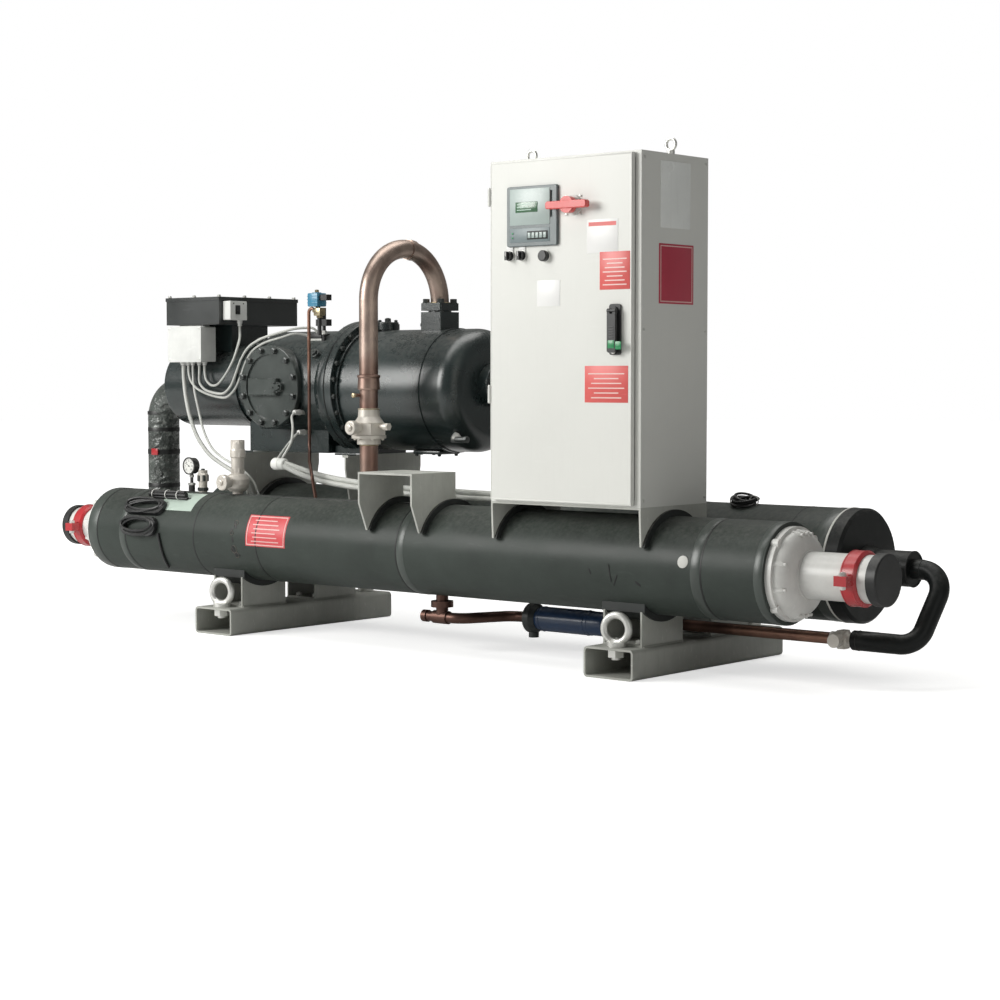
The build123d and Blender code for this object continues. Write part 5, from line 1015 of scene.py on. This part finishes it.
# The hank on the condenser is one spare black cable wound into two flat ovals, so its turns show side
# by side, with a straight bundle along the top held by white ties.
def add_oval(bm, x, angle, long, short, lean, lift):
    """One turn of cable as a flat oval, lying on the front of the condenser."""
    centre, out = shell_point(x, radians(angle), lift)
    face = Matrix((Vector((1, 0, 0)), out.cross(Vector((1, 0, 0))), out)).transposed().to_4x4()
    round_reach = 100
    upright = Matrix.Translation((round_reach, 0, 0)) @ Matrix.Rotation(pi / 2, 4, "X")
    circle = bmesh.ops.create_circle(bm, segments=8, radius=6.2, matrix=upright)
    edges = list({e for v in circle["verts"] for e in v.link_edges})
    known = set(bm.verts) - set(circle["verts"])
    bmesh.ops.spin(bm, geom=circle["verts"] + edges, cent=(0, 0, 0), axis=(0, 0, 1), angle=2 * pi,
                   steps=56, use_merge=True)
    for corner in set(bm.verts) - known:
        reach = Vector((corner.co.x, corner.co.y)).length
        side = Vector((corner.co.x, corner.co.y)) / reach
        thick = reach - round_reach
        flat = Vector((side.x * (long + thick), side.y * (short + thick), corner.co.z))
        corner.co = at(*centre) + face @ (Matrix.Rotation(lean, 3, "Z") @ flat) / 1000


hank_turns = bmesh.new()
for x, angle, long, short, lean, lift in (
    (-1533, 38, 117, 30, 0.05, 15), (-1529, 36, 112, 27, 0.13, 20), (-1538, 39, 108, 31, -0.04, 24),
    (-1536, 10, 105, 34, -0.06, 15), (-1532, 9, 101, 36, 0.08, 20), (-1541, 12, 98, 31, 0.02, 25),
):
    add_oval(hank_turns, x, angle, long, short, lean, lift)
bundle_angle = radians(60)
bundle_lift = 14
for number in range(6):
    turn = 2 * pi * number / 6
    start = shell_point(-1556 + 5 * number, bundle_angle, bundle_lift)[0]
    start = start + Vector((0, 13.5 * cos(turn), 13.5 * sin(turn)))
    along = (1, 0.01 * cos(2 * turn), 0.012 * sin(turn))
    add_drum(hank_turns, start, along, 212 + 3 * number, 5.5, sides=12, rounding=3)
finish_piece("hank_turns", hank_turns, lead_black)
hank_ties = bmesh.new()
for x in (-1530, -1445, -1372):
    spot = shell_point(x, bundle_angle, bundle_lift)[0]
    add_ring(hank_ties, spot, (1, 0, 0), 19.5, 2.4, sides=32, around=8)
finish_piece("hank_ties", hank_ties, plug_white)


# The control cabinet is folded sheet steel in pale grey powder coat. Its door hangs on two hinges, has a
# folded edge with a rubber seal behind it, and carries four plain plates, two of them red.
cabinet_paint = finish_look("cabinet_paint", (0.73, 0.735, 0.70), 0.40, cloud=0.02, dust=0.05, streaks=0.05,
                            scuff=0.04, grain_scale=450, grain_height=0.0002, coat=0.1, cloud_scale=1.5)
coat_nodes(cabinet_paint, "cabinet_body", "cabinet_door")


door_face = span("controller_panel")[1].y


def door_plate(name, x0, x1, z0, z1, material, proud=1.0):
    block_piece(name, (x0, door_face - proud, z0), (x1, door_face + 0.5, z1), 0.4, material, "door")


def door_rules(name, bars, material, proud):
    """Thin raised bars on a plate of the door, each given as x0, x1, z0, z1."""
    bm = bmesh.new()
    for x0, x1, z0, z1 in bars:
        add_block(bm, (x0, door_face - proud, z0), (x1, door_face - 0.2, z1))
    finish_piece(name, bm, material, "door", smooth=False)


plate_white = finish_look("plate_white", (0.86, 0.86, 0.85), 0.35, cloud=0.02, dust=0.0, streaks=0.0,
                          scuff=0.03)
plate_red = plate_finish("door_red_plate", (0.72, 0.11, 0.10))
plate_red_rule = rule_finish("door_red_plate_rule", (0.86, 0.62, 0.58))
door_plate("door_white_plate", 944, 1082, 1513, 1631, plate_white)
door_plate("door_red_plate_upper", 1002, 1135, 1383, 1516, plate_red, 1.2)
door_plate("door_red_plate_lower", 936, 1128, 985, 1115, plate_red)
door_rules("door_white_plate_rules", [(952, 1074, 1608, 1622)], plate_red, 1.5)
bars = []
for row in range(7):
    inset = 14 + 9 * (row % 3)
    bars.append((1002 + inset, 1135 - inset, 1398 + row * 15, 1402 + row * 15))
for row in range(6):
    inset = 16 + 13 * ((row + 1) % 3)
    bars.append((936 + inset, 1128 - inset, 1000 + row * 17, 1004 + row * 17))
door_rules("door_red_plate_rules", bars, plate_red_rule, 1.7)
door_plate("door_pale_plate", 716, 822, 1330, 1424, plate_white)
block_piece("door_seal", (496, -412.8, 627), (1140, -411.2, 1855), 0.5, seam_black, "door")
rims = bmesh.new()
for x0, x1, z0, z1 in ((1136, 1141.4, 628, 1854), (494.6, 499, 628, 1854), (500, 1136, 1853, 1858.4),
                       (500, 1136, 623.6, 629)):
    add_block(rims, (x0, -433.9, z0), (x1, -425, z1), 1.2)
finish_piece("door_folds", rims, cabinet_paint, "door")
hinge_pins = bmesh.new()
for z in (1012, 1735):
    for step in (-1, 1):
        add_drum(hinge_pins, (490, door_face, z + step * 24), (0, 0, step), 10, 5, sides=20, rounding=1)
finish_piece("hinge_pins", hinge_pins, zinc)


# The cabinet's right side is a panel screwed to the frame. It carries two plates of plastic, a pale one
# and a red one with a printed rule round it.
cabinet_side = span("cabinet_body")[1].x
side_pale = finish_look("side_plate", (0.88, 0.90, 0.88), 0.22, cloud=0.04, dust=0.02)
side_red = finish_look("side_red", (0.50, 0.045, 0.080), 0.32, cloud=0.05, dust=0.02)
for name, y0, y1, z0, z1, material in (("side_pale_plate", -298, -119, 1603, 1838, side_pale),
                                       ("side_red_plate", -308, -98, 1335, 1547, side_red)):
    block_piece(name, (cabinet_side - 0.5, y0, z0), (cabinet_side + 1.2, y1, z1), 0.5, material)
side_lines = bmesh.new()
for y0, y1, z0, z1 in ((-300, -106, 1341, 1345), (-300, -106, 1537, 1541), (-300, -296, 1345, 1537),
                       (-110, -106, 1345, 1537)):
    add_block(side_lines, (cabinet_side + 1, y0, z0), (cabinet_side + 1.6, y1, z1))
finish_piece("side_red_rules", side_lines, red_rule, smooth=False)
side_screws = bmesh.new()
for y in (-395, -21):
    for z in (640, 1240, 1842):
        add_cross_screw(side_screws, (cabinet_side, y, z), (1, 0, 0), 6)
finish_piece("side_screws", side_screws, zinc)


# The controller is a moulded grey panel set in the door. Its upper plate has a green display, and its
# lower plate five keys in a tray and two small lamps.
panel_frame = finish_look("panel_frame", (0.115, 0.145, 0.150), 0.34, cloud=0.05, dust=0.05, coat=0.2)
panel_field = finish_look("panel_field", (0.40, 0.475, 0.455), 0.3, cloud=0.03, dust=0.02, coat=0.2)
panel_glass = finish_look("panel_glass", (0.055, 0.150, 0.075), 0.1, cloud=0.1, dust=0.0, coat=0.8)
display_green = finish_look("display_lines", (0.42, 0.60, 0.50), 0.3)
panel_lower = finish_look("panel_blue_grey", (0.19, 0.235, 0.245), 0.34, cloud=0.04, dust=0.03)
coat_nodes(panel_frame, "controller_panel")
block_piece("panel_field_plate", (598, -447, 1624), (785, -440, 1756), 2, panel_field, "door")
block_piece("panel_display", (626, -448.6, 1670), (729, -444, 1708), 1.5, panel_glass, "door")
display_lines = bmesh.new()
for row in range(3):
    z = 1678 + row * 10
    add_block(display_lines, (634, -448.9, z), (700 - 14 * (row % 2), -448.4, z + 3))
finish_piece("panel_display_lines", display_lines, display_green, "door", smooth=False)
block_piece("panel_lower_plate", (598, -446.4, 1562), (785, -440, 1614), 2, panel_lower, "door")
block_piece("panel_key_tray", (680, -447.2, 1572), (776, -446, 1602), 1, seam_black, "door")
keys = bmesh.new()
for column in range(5):
    x = 684 + column * 18
    add_block(keys, (x, -449.4, 1577), (x + 14, -446.8, 1597), 1.4)
finish_piece("panel_keys", keys, panel_field, "door")
lamp_green = finish_look("lamp_green", (0.05, 0.30, 0.12), 0.2, cloud=0.0, dust=0.0)
panel_lamps = bmesh.new()
for z in (1580, 1596):
    add_drum(panel_lamps, (612, -446, z), (0, -1, 0), 2.5, 3.5, sides=20, rounding=0.8)
finish_piece("panel_lamps", panel_lamps, lamp_green, "door")


# Switches and handle on the door: a pale round base with a red grip that turns, two black selector
# switches and a button in bright collars, and a black swing handle with a lock and a green tape tag.
switch_black = finish_look("switch_black", (0.025, 0.026, 0.027), 0.35, dust=0.05)
switch_pale = finish_look("switch_pale", (0.66, 0.66, 0.63), 0.35, cloud=0.03, dust=0.03)
switch_red = finish_look("switch_red", (0.66, 0.060, 0.055), 0.32, cloud=0.04, dust=0.03, coat=0.3)
coat_nodes(switch_pale, "main_switch_base")
coat_nodes(switch_red, "main_switch_handle")
coat_nodes(switch_black, "selector_buttons")
coat_nodes(switch_black, "door_handle", "handle_hub", "handle_lever")
tag = bmesh.new()
tape_green = finish_look("tape_green", (0.012, 0.26, 0.085), 0.3, dust=0.05, scuff=0.1, coat=0.3)
add_block(tag, (1060.5, -464.6, 1176), (1089.5, -450, 1204), 1)
add_block(tag, (1086, -462.5, 1172), (1118, -461.5, 1200), 0.3)
finish_piece("handle_tag", tag, tape_green, "handle_arm")
lever_ribs = bmesh.new()
for row in range(5):
    add_block(lever_ribs, (1062, -464.2, 1212 + row * 9), (1086, -462.8, 1216 + row * 9), 0.5)
finish_piece("lever_ribs", lever_ribs, switch_black, "handle_arm")
lock = bmesh.new()
add_drum(lock, (1074, -445, 1165), (0, -1, 0), 9, 8, sides=32, rounding=1)
finish_piece("handle_lock", lock, zinc, "door")
legends = bmesh.new()
pointers = bmesh.new()
collars = bmesh.new()
for x in (591, 648):
    add_block(legends, (x - 15, -437.5, 1530), (x + 15, -432.5, 1552), 1.2)
    add_block(pointers, (x - 1.2, -463.6, 1514), (x + 1.2, -462.6, 1530), 0.3)
    add_ring(collars, (x, -436, 1516), (0, -1, 0), 18.5, 2.2, sides=48)
add_ring(collars, (756, -436, 1511), (0, -1, 0), 20, 2.2, sides=48)
finish_piece("selector_legends", legends, plate_white, "door")
finish_piece("selector_marks", pointers, plate_white, "door")
finish_piece("selector_collars", collars, zinc, "door")
switch_low, switch_high = span("main_switch_base")
switch_x = (switch_low.x + switch_high.x) / 2
switch_z = (switch_low.z + switch_high.z) / 2
grip_ribs = bmesh.new()
for side in (-1, 1):
    for row in range(5):
        x = switch_x + side * (50 + row * 8)
        add_block(grip_ribs, (x - 1.5, -471.3, switch_z - 11), (x + 1.5, -469, switch_z + 11), 0.4)
finish_piece("grip_ribs", grip_ribs, switch_red, "switch_grip")
base_screws = bmesh.new()
for angle in (45, 135, 225, 315):
    turn = radians(angle)
    spot = (switch_x + 45 * cos(turn), -438, switch_z + 45 * sin(turn))
    add_cross_screw(base_screws, spot, (0, -1, 0), 4)
finish_piece("switch_screws", base_screws, zinc, "door")
